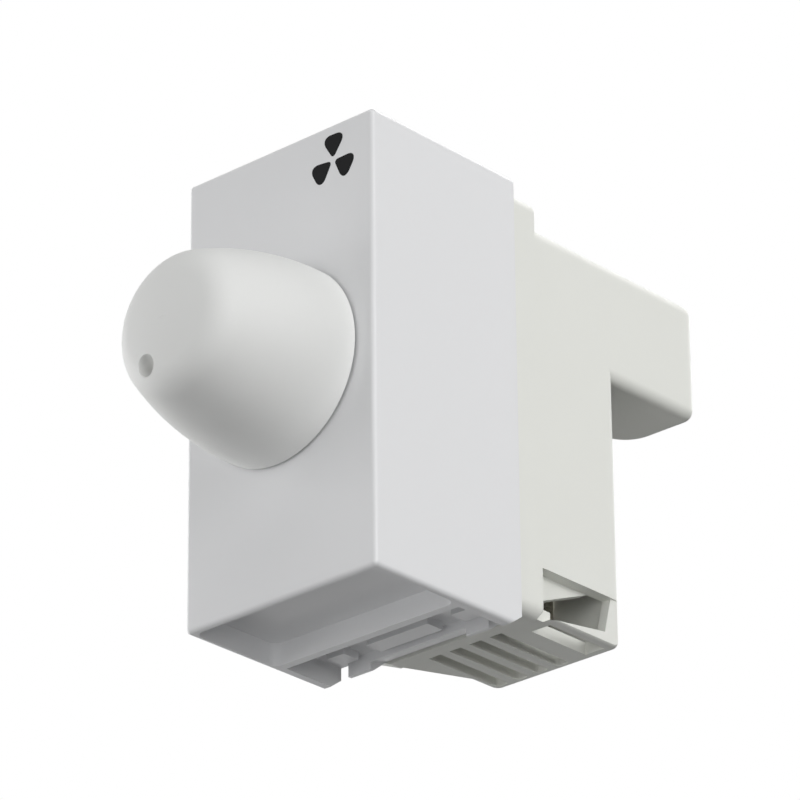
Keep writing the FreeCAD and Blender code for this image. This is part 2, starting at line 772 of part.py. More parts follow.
def rear_housing():
    """The rear shell: collar, spigot plates, stepped housing with a slanted side, window and vents."""
    body = new_body("rear_housing")
    extrude(body, "lower_block", PLAN, -D.housing_bottom, D.step_height,
            lambda s: draw_lower(s, 0, 0))
    extrude(body, "upper_block", PLAN, D.step_height, D.housing_top,
            lambda s: draw_upper(s, 0, 0))
    round_housing(body)
    extrude(body, "collar", FRONT, RIM_Y, COLLAR_BACK_Y, draw_collar)
    hollow_housing(body)

    reach = LATCH_HALF + D.latch_side_gap
    notch_floor = FLOOR_IN - D.latch_flex_gap
    notch = extrude(body, "latch_notch", PLAN, -COLLAR_CREST, -notch_floor,
                    lambda s: add_rectangle(s, -reach, reach, RIM_Y, CATCH_END_Y + D.latch_side_gap),
                    cut=True)
    mirror_upwards(body, "upper_notch", [notch])
    pierce_housing(body)

    def draw_spigots(sketch):
        half = D.spigot_height / 2
        add_rectangle(sketch, SPIGOT_IN, SPIGOT_OUT, -half, half)
        add_rectangle(sketch, -SPIGOT_OUT, -SPIGOT_IN, -half, half)

    extrude(body, "spigots", FRONT, BOARD_BACK_Y + D.board_gap / 2, RIM_Y, draw_spigots)

    def draw_snaps(sketch):
        for side in (1, -1):
            foot, tip = SPIGOT_OUT * side, (SPIGOT_OUT + D.snap_proud) * side
            add_outline(sketch, [(foot, D.snap_front), (tip, D.snap_back), (foot, D.snap_back)])

    extrude(body, "snap_lugs", PLAN, -D.snap_width / 2, D.snap_width / 2, draw_snaps)
    return body


def knob():
    """The turned knob: barrel side, domed end with a pointer dimple, hollow back and D-bored hub."""
    body = new_body("knob")
    roof_y = KNOB_BASE_Y - D.knob_hollow_depth
    hollow_base = D.knob_base_radius - D.knob_wall
    hollow_roof = hollow_base - D.knob_hollow_taper
    dome_arc = D.knob_end_radius * D.knob_end_radius / (2 * D.knob_dome) + D.knob_dome / 2
    section = [(D.knob_base_radius, KNOB_BASE_Y), (hollow_base, KNOB_BASE_Y), (hollow_roof, roof_y),
               (HUB_OUT, roof_y), (HUB_OUT, HUB_FRONT_Y), (HUB_BORE, HUB_FRONT_Y), (HUB_BORE, BORE_END_Y),
               (0, BORE_END_Y), (0, KNOB_TIP_Y), (D.knob_end_radius, KNOB_SHOULDER_Y)]
    revolve(body, "knob_turning",
            lambda s: add_outline(s, section, {8: (dome_arc, 1), 9: (D.knob_side_arc, 1)}))
    round_edges(body, "knob_rim", D.knob_rim_round,
                lambda edge: lies_at(edge, 1, KNOB_SHOULDER_Y))
    flat = D.shaft_flat + D.shaft_running_clearance
    extrude(body, "hub_flat", FRONT, BORE_END_Y, HUB_FRONT_Y,
            lambda s: add_rectangle(s, -HUB_BORE, HUB_BORE, flat, HUB_BORE + D.hub_flat_overlap))
    press_dimple(body, dome_arc)
    return body


def press_dimple(body, dome_arc):
    """Sink the pointer dimple, a round bowl, into the knob's domed end."""
    angle = math.radians(D.dimple_angle.value)
    bowl = (D.dimple_radius * D.dimple_radius + D.dimple_depth * D.dimple_depth) / (2 * D.dimple_depth)
    dome_drop = D.dimple_offset * D.dimple_offset / (2 * dome_arc)
    before = volume(body)
    dimple = body.newObject("PartDesign::SubtractiveSphere", "dimple")
    bind(dimple, "Radius", bowl)
    place(dimple, D.dimple_offset * math.sin(angle), KNOB_TIP_Y + dome_drop + D.dimple_depth - bowl,
          D.dimple_offset * math.cos(angle))
    settle(body, dimple, before, True)


def knob_spring():
    """The slit spring sleeve that grips the knob's hub on the shaft."""
    body = new_body("knob_spring")
    inner = HUB_OUT + D.spring_clearance
    front_y = HUB_FRONT_Y - D.spring_setback - D.spring_length

    def draw_ring(sketch):
        add_circle(sketch, 0, 0, inner + D.spring_wall)
        add_circle(sketch, 0, 0, inner)

    extrude(body, "sleeve", FRONT, front_y, front_y + D.spring_length, draw_ring)
    half = D.spring_slit / 2
    extrude(body, "slit", FRONT, front_y, front_y + D.spring_length,
            lambda s: add_rectangle(s, -half, half, 0, inner + D.spring_wall + D.spring_clearance), cut=True)
    return body


def pot_shaft():
    """The potentiometer's shaft with its flat for the knob."""
    body = new_body("pot_shaft")
    extrude(body, "rod", FRONT, SHAFT_TIP_Y, WIPER_BACK_Y + D.shaft_tail,
            lambda s: add_circle(s, 0, 0, D.shaft_radius))
    extrude(body, "flat", FRONT, SHAFT_TIP_Y, HUB_FRONT_Y,
            lambda s: add_rectangle(s, -D.shaft_radius, D.shaft_radius, D.shaft_flat, D.shaft_radius),
            cut=True)
    return body


def pot_wiper():
    """The rotor that turns with the shaft and carries the contact finger."""
    body = new_body("pot_wiper")

    def draw_rotor(sketch):
        add_circle(sketch, 0, 0, D.wiper_radius)
        add_circle(sketch, 0, 0, D.shaft_radius)

    extrude(body, "rotor", FRONT, WIPER_FRONT_Y, WIPER_BACK_Y, draw_rotor)
    extrude(body, "finger", FRONT, TRACK_BACK_Y + D.wiper_finger_gap, WIPER_FRONT_Y,
            lambda s: add_circle(s, 0, D.wiper_finger_offset, D.wiper_finger_radius))
    return body


def pot_bushing():
    """The front plate with the threaded bushing that the shaft turns in."""
    body = new_body("pot_bushing")
    half = D.pot_plate_side / 2
    extrude(body, "plate", FRONT, INNER_FACE_Y, TRACK_FRONT_Y,
            lambda s: add_rounded_rectangle(s, -half, half, -half, half, D.board_round))
    extrude(body, "tube", FRONT, BUSHING_TIP_Y, INNER_FACE_Y, lambda s: add_circle(s, 0, 0, BUSHING_OUT))
    extrude(body, "bore", FRONT, BUSHING_TIP_Y, TRACK_FRONT_Y,
            lambda s: add_circle(s, 0, 0, D.shaft_radius + D.shaft_running_clearance), cut=True)
    return body


def pot_washer():
    """The washer under the bushing's nut."""
    body = new_body("pot_washer")

    def draw_ring(sketch):
        add_circle(sketch, 0, 0, D.washer_radius)
        add_circle(sketch, 0, 0, BUSHING_OUT + D.screw_clearance)

    extrude(body, "ring", FRONT, FACE_Y - D.washer_wall, FACE_Y, draw_ring)
    return body


def pot_nut():
    """The hexagon nut that clamps the potentiometer to the face."""
    body = new_body("pot_nut")
    back_y = FACE_Y - D.washer_wall
    corner = D.nut_flats / math.sqrt(3)
    turns = [math.tau * step / NUT_CORNER_COUNT for step in range(NUT_CORNER_COUNT)]

    def draw_hexagon(sketch):
        add_outline(sketch, [(corner * math.cos(turn), corner * math.sin(turn)) for turn in turns])
        add_circle(sketch, 0, 0, BUSHING_OUT + D.shaft_running_clearance)

    extrude(body, "hexagon", FRONT, back_y - D.nut_wall, back_y, draw_hexagon)
    return body


def pot_track_board():
    """The resistance track's base board with the tab that holds the pins."""
    body = new_body("pot_track_board")
    half = D.track_tab_width / 2
    extrude(body, "disc", FRONT, TRACK_FRONT_Y, TRACK_BACK_Y,
            lambda s: add_circle(s, 0, 0, TRACK_RADIUS))
    extrude(body, "tab", FRONT, TRACK_FRONT_Y, TRACK_BACK_Y,
            lambda s: add_rectangle(s, -half, half, -D.track_tab_reach, 0))
    extrude(body, "shaft_hole", FRONT, TRACK_FRONT_Y, TRACK_BACK_Y,
            lambda s: add_circle(s, 0, 0, D.track_hole_radius), cut=True)
    extrude(body, "pin_slots", FRONT, TRACK_FRONT_Y, TRACK_BACK_Y, draw_pins, cut=True)
    return body


def draw_pins(sketch):
    """Draw the sections of the three potentiometer pins."""
    half, wall = D.pin_width / 2, D.pin_wall / 2
    for x in PIN_XS:
        add_rectangle(sketch, x - half, x + half, -D.pin_drop - wall, -D.pin_drop + wall)


def pot_pins():
    """The three pins from the track to the circuit board."""
    body = new_body("pot_pins")
    extrude(body, "pins", FRONT, TRACK_FRONT_Y - D.pin_head, BOARD_BACK_Y + D.pin_tail, draw_pins)
    return body


def pot_case():
    """The round steel case over the rotor."""
    body = new_body("pot_case")
    extrude(body, "can", FRONT, TRACK_BACK_Y, CASE_BACK_Y, lambda s: add_circle(s, 0, 0, D.case_radius))
    extrude(body, "can_room", FRONT, TRACK_BACK_Y, CASE_BACK_Y - D.case_wall,
            lambda s: add_circle(s, 0, 0, D.case_radius - D.case_wall), cut=True)
    return body


def lead_places():
    """Return the x and z of every round lead in the circuit board."""
    pairs = [(CHOKE_X, CHOKE_Z, 2 * D.choke_lead_offset), (SNUBBER_X, D.snubber_z, D.snubber_pitch),
             (D.timing_x, D.timing_z, D.timing_pitch), (D.diac_x, D.diac_z, D.diac_pitch)]
    pairs += [(x, D.resistor_z, D.resistor_pitch) for x in RESISTOR_XS]
    return [(x, z + side * pitch / 2) for x, z, pitch in pairs for side in (1, -1)]


def circuit_board():
    """The board behind the potentiometer, drilled for every lead and slotted for the tabs."""
    body = new_body("circuit_board")
    half, top = BAY_HALF_WIDTH - D.board_clearance, FLOOR_IN - D.board_clearance
    extrude(body, "board", FRONT, BOARD_FRONT_Y, BOARD_BACK_Y,
            lambda s: add_rounded_rectangle(s, -half, half, -top, top, D.board_round))

    def draw_holes(sketch):
        for x, z in lead_places():
            add_circle(sketch, x, z, D.lead_radius + D.lead_clearance)
        for x in PIN_XS:
            add_circle(sketch, x, -D.pin_drop, D.pin_width / 2 + D.lead_clearance)
        for z in TRIAC_LEAD_ZS:
            add_circle(sketch, TRIAC_X, z, D.triac_lead_width / 2 + D.lead_clearance)
        for z in TERMINALS.values():
            wall, width = D.leg_wall / 2 + D.lead_clearance, D.leg_width / 2 + D.lead_clearance
            add_rectangle(sketch, LEG_X - wall, LEG_X + wall, z - width, z + width)

    extrude(body, "holes", FRONT, BOARD_FRONT_Y, BOARD_BACK_Y, draw_holes, cut=True)
    return body


def heat_sink():
    """The aluminium plate along the right wall that runs into the deep block."""
    body = new_body("heat_sink")
    half = D.sink_height / 2
    back_y = D.upper_back - D.housing_wall - D.sink_end_gap
    extrude(body, "plate", SIDE, SINK_LEFT, SINK_RIGHT,
            lambda s: add_rounded_rectangle(s, D.sink_front, back_y, D.sink_centre_z - half,
                                            D.sink_centre_z + half, D.board_round))
    extrude(body, "screw_hole", SIDE, SINK_LEFT, SINK_RIGHT,
            lambda s: add_circle(s, SINK_SCREW_Y, D.sink_centre_z, D.sink_screw_radius), cut=True)
    return body


def triac_body():
    """The triac's moulded body against the heat sink."""
    body = new_body("triac_body")
    half = D.triac_width / 2
    extrude(body, "block", SIDE, TRIAC_LEFT, SINK_LEFT,
            lambda s: add_rectangle(s, D.triac_front, TRIAC_BACK_Y, D.sink_centre_z - half,
                                    D.sink_centre_z + half))
    round_edges(body, "block_edges", D.capacitor_round, lambda edge: lies_at(edge, 0, TRIAC_LEFT))
    extrude(body, "screw_hole", SIDE, TRIAC_LEFT, SINK_LEFT,
            lambda s: add_circle(s, SINK_SCREW_Y, D.sink_centre_z, D.sink_screw_radius + D.screw_clearance),
            cut=True)
    return body


def triac_leads():
    """The triac's three leads, through the circuit board."""
    body = new_body("triac_leads")

    def draw_leads(sketch):
        width, wall = D.triac_lead_width / 2, D.triac_lead_wall / 2
        for z in TRIAC_LEAD_ZS:
            add_rectangle(sketch, TRIAC_X - wall, TRIAC_X + wall, z - width, z + width)

    extrude(body, "leads", FRONT, BOARD_FRONT_Y - D.lead_tail, D.triac_front, draw_leads)
    return body


def screw_along_x(body, head_left, head_length, head_radius, tip_right, shank_radius):
    """Build a slotted cheese-head screw along X about the body's own origin."""
    seat = head_left + head_length
    extrude(body, "head", SIDE, head_left, seat, lambda s: add_circle(s, 0, 0, head_radius))
    extrude(body, "shank", SIDE, seat, tip_right, lambda s: add_circle(s, 0, 0, shank_radius))
    half = D.screw_slot_width / 2
    extrude(body, "driver_slot", SIDE, head_left, head_left + D.screw_slot_depth,
            lambda s: add_rectangle(s, -half, half, -head_radius, head_radius), cut=True)


def heat_sink_screw():
    """The screw that clamps the triac to the heat sink."""
    body = new_body("heat_sink_screw")
    screw_along_x(body, TRIAC_LEFT - D.sink_screw_head, D.sink_screw_head, D.sink_screw_head_radius,
                  SINK_RIGHT, D.sink_screw_radius)
    place(body, 0, SINK_SCREW_Y, D.sink_centre_z)
    return body


def choke_core():
    """The ferrite bobbin of the interference choke, with its two leads."""
    body = new_body("choke_core")
    back_y = PARTS_Y + D.choke_length
    section = [(0, PARTS_Y), (D.choke_radius, PARTS_Y), (D.choke_radius, PARTS_Y + D.choke_flange),
               (D.choke_neck_radius, PARTS_Y + D.choke_flange),
               (D.choke_neck_radius, back_y - D.choke_flange), (D.choke_radius, back_y - D.choke_flange),
               (D.choke_radius, back_y), (0, back_y)]
    revolve(body, "bobbin", lambda s: add_outline(s, section))

    def draw_leads(sketch):
        for side in (1, -1):
            add_circle(sketch, 0, D.choke_lead_offset * side, D.lead_radius)

    extrude(body, "leads", FRONT, BOARD_FRONT_Y - D.lead_tail, PARTS_Y, draw_leads)
    place(body, CHOKE_X, 0, CHOKE_Z)
    return body


def choke_winding():
    """The copper winding between the bobbin's flanges."""
    body = new_body("choke_winding")

    def draw_coil(sketch):
        add_circle(sketch, 0, 0, D.choke_winding_radius)
        add_circle(sketch, 0, 0, D.choke_neck_radius)

    extrude(body, "coil", FRONT, PARTS_Y + D.choke_flange, PARTS_Y + D.choke_length - D.choke_flange,
            draw_coil)
    place(body, CHOKE_X, 0, CHOKE_Z)
    return body


def box_capacitor(label, x, z, thickness, width, height, pitch):
    """A moulded film capacitor that stands on the board with two leads."""
    body = new_body(label)
    extrude(body, "case", FRONT, PARTS_Y, PARTS_Y + height,
            lambda s: add_rectangle(s, -thickness / 2, thickness / 2, -width / 2, width / 2))
    round_edges(body, "case_edges", D.capacitor_round, lambda edge: not lies_at(edge, 1, PARTS_Y))

    def draw_leads(sketch):
        for side in (1, -1):
            add_circle(sketch, 0, side * pitch / 2, D.lead_radius)

    extrude(body, "leads", FRONT, BOARD_FRONT_Y - D.lead_tail, PARTS_Y, draw_leads)
    place(body, x, 0, z)
    return body


def axial_part(label, radius, length, pitch, xs, z):
    """Axial components that lie along Z on the board, one at each x, with bent leads."""
    body = new_body(label)
    middle_y = PARTS_Y + radius

    def draw_sections(sketch, size):
        for x in xs:
            add_circle(sketch, x, middle_y, size)

    def draw_tails(sketch):
        for x in xs:
            for side in (1, -1):
                add_circle(sketch, x, side * pitch / 2, D.lead_radius)

    extrude(body, "barrel", PLAN, -length / 2, length / 2, lambda s: draw_sections(s, radius))
    extrude(body, "run", PLAN, -pitch / 2 - D.lead_radius, pitch / 2 + D.lead_radius,
            lambda s: draw_sections(s, D.lead_radius))
    extrude(body, "tails", FRONT, BOARD_FRONT_Y - D.lead_tail, middle_y, draw_tails)
    place(body, 0, 0, z)
    return body


def terminal_cage(name, z):
    """A brass terminal block with its wire bore and the tapped hole of its clamp screw."""
    body = new_body(f"terminal_cage_{name}")
    right = CAGE_LEFT + D.cage_thickness
    half = D.cage_height / 2
    extrude(body, "block", FRONT, CAGE_FRONT_Y, CAGE_BACK_Y,
            lambda s: add_rectangle(s, CAGE_LEFT, right, -half, half))
    extrude(body, "wire_bore", FRONT, CAGE_FRONT_Y, CAGE_BACK_Y,
            lambda s: add_circle(s, D.terminal_x, 0, D.wire_radius), cut=True)
    extrude(body, "screw_hole", SIDE, CAGE_LEFT, D.terminal_x,
            lambda s: add_circle(s, CLAMP_Y, 0, D.clamp_screw_radius + D.shaft_running_clearance), cut=True)
    place(body, 0, 0, z)
    return body


def terminal_screw(name, z):
    """A terminal's clamp screw, backed off so that a wire can go in."""
    body = new_body(f"terminal_screw_{name}")
    tip = D.terminal_x - D.wire_radius - D.clamp_tip_gap
    screw_along_x(body, CAGE_LEFT - D.clamp_head, D.clamp_head, D.clamp_head_radius, tip,
                  D.clamp_screw_radius)
    place(body, 0, CLAMP_Y, z)
    return body


def terminal_legs():
    """The two brass straps from the terminals to the circuit board."""
    body = new_body("terminal_legs")
    wall, width = D.leg_wall / 2, D.leg_width / 2

    def draw_legs(sketch):
        for z in TERMINALS.values():
            add_rectangle(sketch, LEG_X - wall, LEG_X + wall, z - width, z + width)

    extrude(body, "straps", FRONT, BOARD_FRONT_Y - D.lead_tail, CAGE_FRONT_Y, draw_legs)
    return body


def build():
    """Build every sub-part and return them."""
    parts = [front_cover(), rear_housing(), knob(), knob_spring(), pot_shaft(), pot_wiper(), pot_bushing(),
             pot_washer(), pot_nut(), pot_track_board(), pot_pins(), pot_case(), circuit_board(),
             heat_sink(), triac_body(), triac_leads(), heat_sink_screw(), choke_core(), choke_winding(),
             terminal_legs()]
    parts.append(box_capacitor("snubber_capacitor", SNUBBER_X, D.snubber_z, D.snubber_thickness,
                               D.snubber_width, D.snubber_height, D.snubber_pitch))
    parts.append(box_capacitor("timing_capacitor", D.timing_x, D.timing_z, D.timing_thickness,
                               D.timing_width, D.timing_height, D.timing_pitch))
    parts.append(axial_part("resistors", D.resistor_radius, D.resistor_length, D.resistor_pitch,
                            RESISTOR_XS, D.resistor_z))
    parts.append(axial_part("diac", D.diac_radius, D.diac_length, D.diac_pitch, (D.diac_x,), D.diac_z))
    for name, z in TERMINALS.items():
        parts.append(terminal_cage(name, z))
        parts.append(terminal_screw(name, z))
    return parts


def check(parts):
    """Stop if any object failed or any sub-part has no valid shape."""
    for item in DOC.Objects:
        if "Invalid" in item.State or "Error" in item.State:
            raise RuntimeError(f"{item.Name} failed")
    for part in parts:
        if part.Shape.isNull() or not part.Shape.isValid():
            raise RuntimeError(f"{part.Label} has no valid shape")


def write(parts):
    """Write each sub-part to its own file."""
    os.makedirs("parts", exist_ok=True)
    for part in parts:
        part.Shape.exportStep(f"parts/{part.Label}.step")
        print(part.Label, len(part.Shape.Solids), round(part.Shape.Volume, 2))


PARTS = build()
DOC.recompute()
check(PARTS)
write(PARTS)
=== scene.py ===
import logging
import math
from abc import ABC, abstractmethod
from collections.abc import Iterator, Mapping, Sequence
from contextlib import contextmanager
from dataclasses import dataclass
from enum import Enum
from typing import Any

import bpy
from mathutils import Matrix, Vector


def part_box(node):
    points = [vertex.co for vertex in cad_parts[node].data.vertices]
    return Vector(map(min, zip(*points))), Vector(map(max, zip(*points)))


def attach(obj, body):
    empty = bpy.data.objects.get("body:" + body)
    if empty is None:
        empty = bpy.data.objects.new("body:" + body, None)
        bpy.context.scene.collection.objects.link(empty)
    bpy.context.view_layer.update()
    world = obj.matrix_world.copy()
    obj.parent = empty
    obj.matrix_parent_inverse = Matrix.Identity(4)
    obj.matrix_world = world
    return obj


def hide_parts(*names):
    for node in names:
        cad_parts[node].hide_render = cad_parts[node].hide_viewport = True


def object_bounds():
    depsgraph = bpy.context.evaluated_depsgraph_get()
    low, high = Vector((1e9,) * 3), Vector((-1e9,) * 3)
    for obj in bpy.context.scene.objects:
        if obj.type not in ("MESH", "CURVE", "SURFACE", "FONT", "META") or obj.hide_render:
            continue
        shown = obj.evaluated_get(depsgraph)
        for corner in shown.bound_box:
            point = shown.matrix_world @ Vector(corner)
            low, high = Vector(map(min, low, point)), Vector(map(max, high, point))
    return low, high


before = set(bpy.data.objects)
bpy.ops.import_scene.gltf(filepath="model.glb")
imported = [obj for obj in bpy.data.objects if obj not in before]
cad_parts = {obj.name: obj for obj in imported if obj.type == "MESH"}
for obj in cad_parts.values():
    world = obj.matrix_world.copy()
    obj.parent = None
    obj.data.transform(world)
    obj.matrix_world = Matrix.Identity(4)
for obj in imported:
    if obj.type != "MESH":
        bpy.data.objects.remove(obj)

CAD_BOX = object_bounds()
MM = 0.001
SAME_PLACE = 0.001 * MM

Colour = tuple[float, float, float]
WHITE: Colour = (1.0, 1.0, 1.0)
log = logging.getLogger("fan_control")


class Body(Enum):
    """The two moving groups of the control."""

    HOUSING = "housing"
    KNOB = "knob"


class Lay(Enum):
    """How the marks of making run, as the pattern's stretch along X, Y and Z."""

    EVEN = (1.0, 1.0, 1.0)
    ROUND_Y = (0.06, 1.0, 0.06)
    ROUND_X = (1.0, 0.06, 0.06)
    ALONG_Y = (1.0, 0.04, 1.0)


class Element(Enum):
    """What a selection picks, as the edit mode's name and the mesh's list of it."""

    POINT = ("VERT", "vertices")
    EDGE = ("EDGE", "edges")
    FACE = ("FACE", "polygons")


class Ring(Enum):
    """The colours of the rings on the resistors and in the glass diode."""

    BROWN = (0.16, 0.045, 0.020)
    BLACK = (0.015, 0.015, 0.016)
    ORANGE = (0.55, 0.32, 0.02)
    GOLD = (0.48, 0.34, 0.10)
    DARK = (0.050, 0.030, 0.025)


class Value:
    """A number that changes over a surface and takes part in plain arithmetic."""

    def __init__(self, nodes: "Nodes", socket: bpy.types.NodeSocket) -> None:
        """Wrap an output socket of a tree of nodes."""
        self.nodes = nodes
        self.socket = socket

    def maths(self, operation: str, *terms: "Value | float") -> "Value":
        """Return the result of a new Math node, given its inputs in order."""
        node = self.nodes.node("ShaderNodeMath", {"operation": operation}, dict(enumerate(terms)))
        return Value(self.nodes, node.outputs[0])

    def __add__(self, other: "Value | float") -> "Value":
        """Return the sum."""
        return self.maths("ADD", self, other)

    __radd__ = __add__

    def __sub__(self, other: "Value | float") -> "Value":
        """Return the difference."""
        return self.maths("SUBTRACT", self, other)

    def __rsub__(self, other: "Value | float") -> "Value":
        """Return the difference with this value on the right."""
        return self.maths("SUBTRACT", other, self)

    def __mul__(self, other: "Value | float") -> "Value":
        """Return the product."""
        return self.maths("MULTIPLY", self, other)

    __rmul__ = __mul__

    def __pow__(self, other: "Value | float") -> "Value":
        """Return the power."""
        return self.maths("POWER", self, other)

    def __rpow__(self, other: "Value | float") -> "Value":
        """Return the power with this value as the exponent."""
        return self.maths("POWER", other, self)

    def within(self, middle: float, half: float) -> "Value":
        """Return 1 where the value is no further than half from the middle, and 0 elsewhere."""
        return self.maths("COMPARE", self, middle, half)

    def below(self, limit: float) -> "Value":
        """Return 1 where the value is under the limit, and 0 elsewhere."""
        return self.maths("LESS_THAN", self, limit)

    def maximum(self, other: "Value | float") -> "Value":
        """Return the larger of two values."""
        return self.maths("MAXIMUM", self, other)

    def around(self, middle: float, spread: float) -> "Value":
        """Return a pattern of 0 to 1 as a swing of some spread round a middle."""
        return self * spread + (middle - spread / 2)


class Nodes:
    """The nodes of one material or of the room."""

    def __init__(self, owner: bpy.types.Material | bpy.types.World) -> None:
        """Start with an empty tree.

        Args:
            owner: The material or the world that the nodes belong to.
        """
        owner.use_nodes = True
        self.tree = owner.node_tree
        self.tree.nodes.clear()

    def node(self, kind: str, settings: Mapping[str, Any] | None = None,
             sockets: Mapping[str | int, Any] | None = None) -> bpy.types.Node:
        """Add one node.

        Args:
            kind: The node's type.
            settings: Its own properties, set first.
            sockets: Values or links for its inputs, by name or number.

        Returns:
            The new node.
        """
        made = self.tree.nodes.new(kind)
        for name, setting in (settings or {}).items():
            setattr(made, name, setting)
        for key, value in (sockets or {}).items():
            by_name = (socket for socket in made.inputs if socket.name == key and socket.enabled)
            self.feed(made.inputs[key] if isinstance(key, int) else next(by_name), value)
        return made

    def feed(self, socket: bpy.types.NodeSocket, value: Any) -> None:
        """Link a socket to a varying value, or set it to a constant.

        Args:
            socket: The input to feed.
            value: A Value, an output socket, a number, a colour or a vector.
        """
        if isinstance(value, Value):
            value = value.socket
        if isinstance(value, bpy.types.NodeSocket):
            self.tree.links.new(value, socket)
        elif socket.type == "RGBA":
            socket.default_value = (*value, 1.0)
        else:
            socket.default_value = value

    def seen_directly(self) -> Value:
        """Tell the rays that show the background itself from those that light the part.

        Returns:
            1 on rays straight from the camera, in gloss or through glass, and 0 on others.
        """
        path = self.node("ShaderNodeLightPath")
        straight, gloss, glass = (Value(self, path.outputs[f"Is {kind} Ray"])
                                  for kind in ("Camera", "Glossy", "Transmission"))
        return straight.maximum(gloss).maximum(glass)

    def glow(self, kind: str, strength: float) -> bpy.types.NodeSocket:
        """Return white light from a type of node that shines, where strength 1 is white."""
        return self.node(kind, sockets={"Color": WHITE, "Strength": strength}).outputs[0]


class Shader(Nodes):
    """One material around a principled surface, read from Object coordinates."""

    def __init__(self, name: str) -> None:
        """Start a material with a principled surface.

        Args:
            name: The material's name.
        """
        self.material = bpy.data.materials.new(name)
        super().__init__(self.material)
        self.surface = self.node("ShaderNodeBsdfPrincipled")
        self.output = self.node("ShaderNodeOutputMaterial",
                                sockets={"Surface": self.surface.outputs[0]})
        self.place = self.node("ShaderNodeTexCoord").outputs["Object"]

    def lay(self, inputs: Mapping[str, Any]) -> None:
        """Feed the surface's inputs, by name, with constants or with what varies over it."""
        for name, value in inputs.items():
            self.feed(self.surface.inputs[name], value)

    def noise(self, grain: float, detail: float = 2.0, lay: Lay = Lay.EVEN) -> Value:
        """Make soft noise.

        Args:
            grain: The size of its patches in metres.
            detail: How much finer noise lies in it.
            lay: The way that its patches are drawn out.

        Returns:
            Values from 0 to 1.
        """
        place = self.node("ShaderNodeMapping", sockets={"Vector": self.place, "Scale": lay.value})
        texture = self.node("ShaderNodeTexNoise", sockets={
            "Vector": place.outputs[0], "Scale": 1 / grain, "Detail": detail})
        return Value(self, texture.outputs[0])

    def coordinates(self) -> tuple[Value, Value, Value]:
        """Return the X, Y and Z of the surface in metres."""
        parts = self.node("ShaderNodeSeparateXYZ", sockets={"Vector": self.place})
        return tuple(Value(self, socket) for socket in parts.outputs)

    def blend(self, factor: Value, first: Any, second: Any) -> bpy.types.NodeSocket:
        """Mix two colours.

        Args:
            factor: 0 for the first and 1 for the second.
            first: A colour or a colour socket.
            second: A colour or a colour socket.

        Returns:
            The mixed colour's socket.
        """
        mix = self.node("ShaderNodeMix", {"data_type": "RGBA"},
                        {"Factor": factor, "A": first, "B": second})
        return next(socket for socket in mix.outputs if socket.enabled)

    def relief(self, height: Value, depth: float) -> None:
        """Give the surface a fine relief.

        Args:
            height: The relief from 0 to 1.
            depth: How deep it goes in metres.
        """
        bump = self.node("ShaderNodeBump",
                         sockets={"Height": height, "Distance": depth, "Strength": 1.0})
        self.lay({"Normal": bump.outputs[0]})


@dataclass(frozen=True)
class Finish(ABC):
    """What one material slot of the part looks like."""

    slot: str

    @abstractmethod
    def mix(self, shader: Shader) -> None:
        """Lay the finish on a shader."""

    def material(self) -> bpy.types.Material:
        """Make a material with this finish.

        Returns:
            The new material, named for its slot.
        """
        shader = Shader(self.slot)
        self.mix(shader)
        return shader.material


@dataclass(frozen=True)
class Moulding(Finish):
    """Moulded plastic or pressed ceramic: faint clouds in the tone and the mould's texture."""

    colour: Colour
    shade: Colour
    roughness: float
    spread: float
    grain: float
    relief: float
    cloud: float = 9 * MM
    coat: float = 0.0
    ior: float = 1.5
    speck_share: float = 0.35

    def paint(self, shader: Shader, tone: Value) -> bpy.types.NodeSocket:
        """Return the moulding's colour, from its own at tone 0 to its shade at tone 1."""
        return shader.blend(tone, self.colour, self.shade)

    def mix(self, shader: Shader) -> None:
        """Lay the moulding's tone, gloss and texture on a shader.

        Args:
            shader: The new material's shader.
        """
        cloud = shader.noise(self.cloud, detail=3.0)
        speck = shader.noise(2 * self.grain, detail=1.0)
        tone = cloud * (1 - self.speck_share) + speck * self.speck_share
        shader.lay({"Base Color": self.paint(shader, tone),
                    "Roughness": cloud.around(self.roughness, self.spread),
                    "IOR": self.ior, "Coat Weight": self.coat})
        shader.relief(shader.noise(self.grain), self.relief)


@dataclass(frozen=True)
class ShadedDimpleMoulding(Moulding):
    """Moulded plastic that fingers touch, with painted shade darkening its pointer dimple."""

    # Painted shade: the darker colour laid into the pointer dimple where shade falls.
    painted_shade: Colour = (0.60, 0.60, 0.58)
    dimple_x: float = -2.395 * MM
    dimple_z: float = -3.986 * MM
    dimple_radius: float = 1.05 * MM
    dimple_back: float = -20 * MM

    def paint(self, shader: Shader, tone: Value) -> bpy.types.NodeSocket:
        """Colour the moulding, with painted shade darkening its dimple.

        Args:
            shader: The new material's shader.
            tone: 0 for the moulding's own colour and 1 for its shade.

        Returns:
            The colour's socket.
        """
        # Painted shade: the colour darkens towards the middle of the dimple, on the knob's front
        # only.
        x, y, z = shader.coordinates()
        away = ((x - self.dimple_x) ** 2.0 + (z - self.dimple_z) ** 2.0) ** 0.5
        depth = (1.0 - away * (1 / self.dimple_radius)).maximum(0.0) ** 0.5
        shade_mask = depth * y.below(self.dimple_back)
        return shader.blend(shade_mask, super().paint(shader, tone), self.painted_shade)


@dataclass(frozen=True)
class Metal(Finish):
    """Bare or plated metal with the marks of its making."""

    colour: Colour
    tarnish: Colour
    roughness: float
    spread: float
    line: float
    relief: float
    lay: Lay = Lay.EVEN
    cloud: float = 3 * MM

    def mix(self, shader: Shader) -> None:
        """Lay the metal's tone, gloss and tool marks on a shader.

        Args:
            shader: The new material's shader.
        """
        cloud = shader.noise(self.cloud, detail=3.0)
        lines = shader.noise(self.line, detail=3.0, lay=self.lay)
        shader.lay({"Base Color": shader.blend(cloud ** 2.0, self.colour, self.tarnish),
                    "Roughness": ((lines + cloud) * 0.5).around(self.roughness, 2 * self.spread),
                    "Metallic": 1.0})
        shader.relief(lines, self.relief)


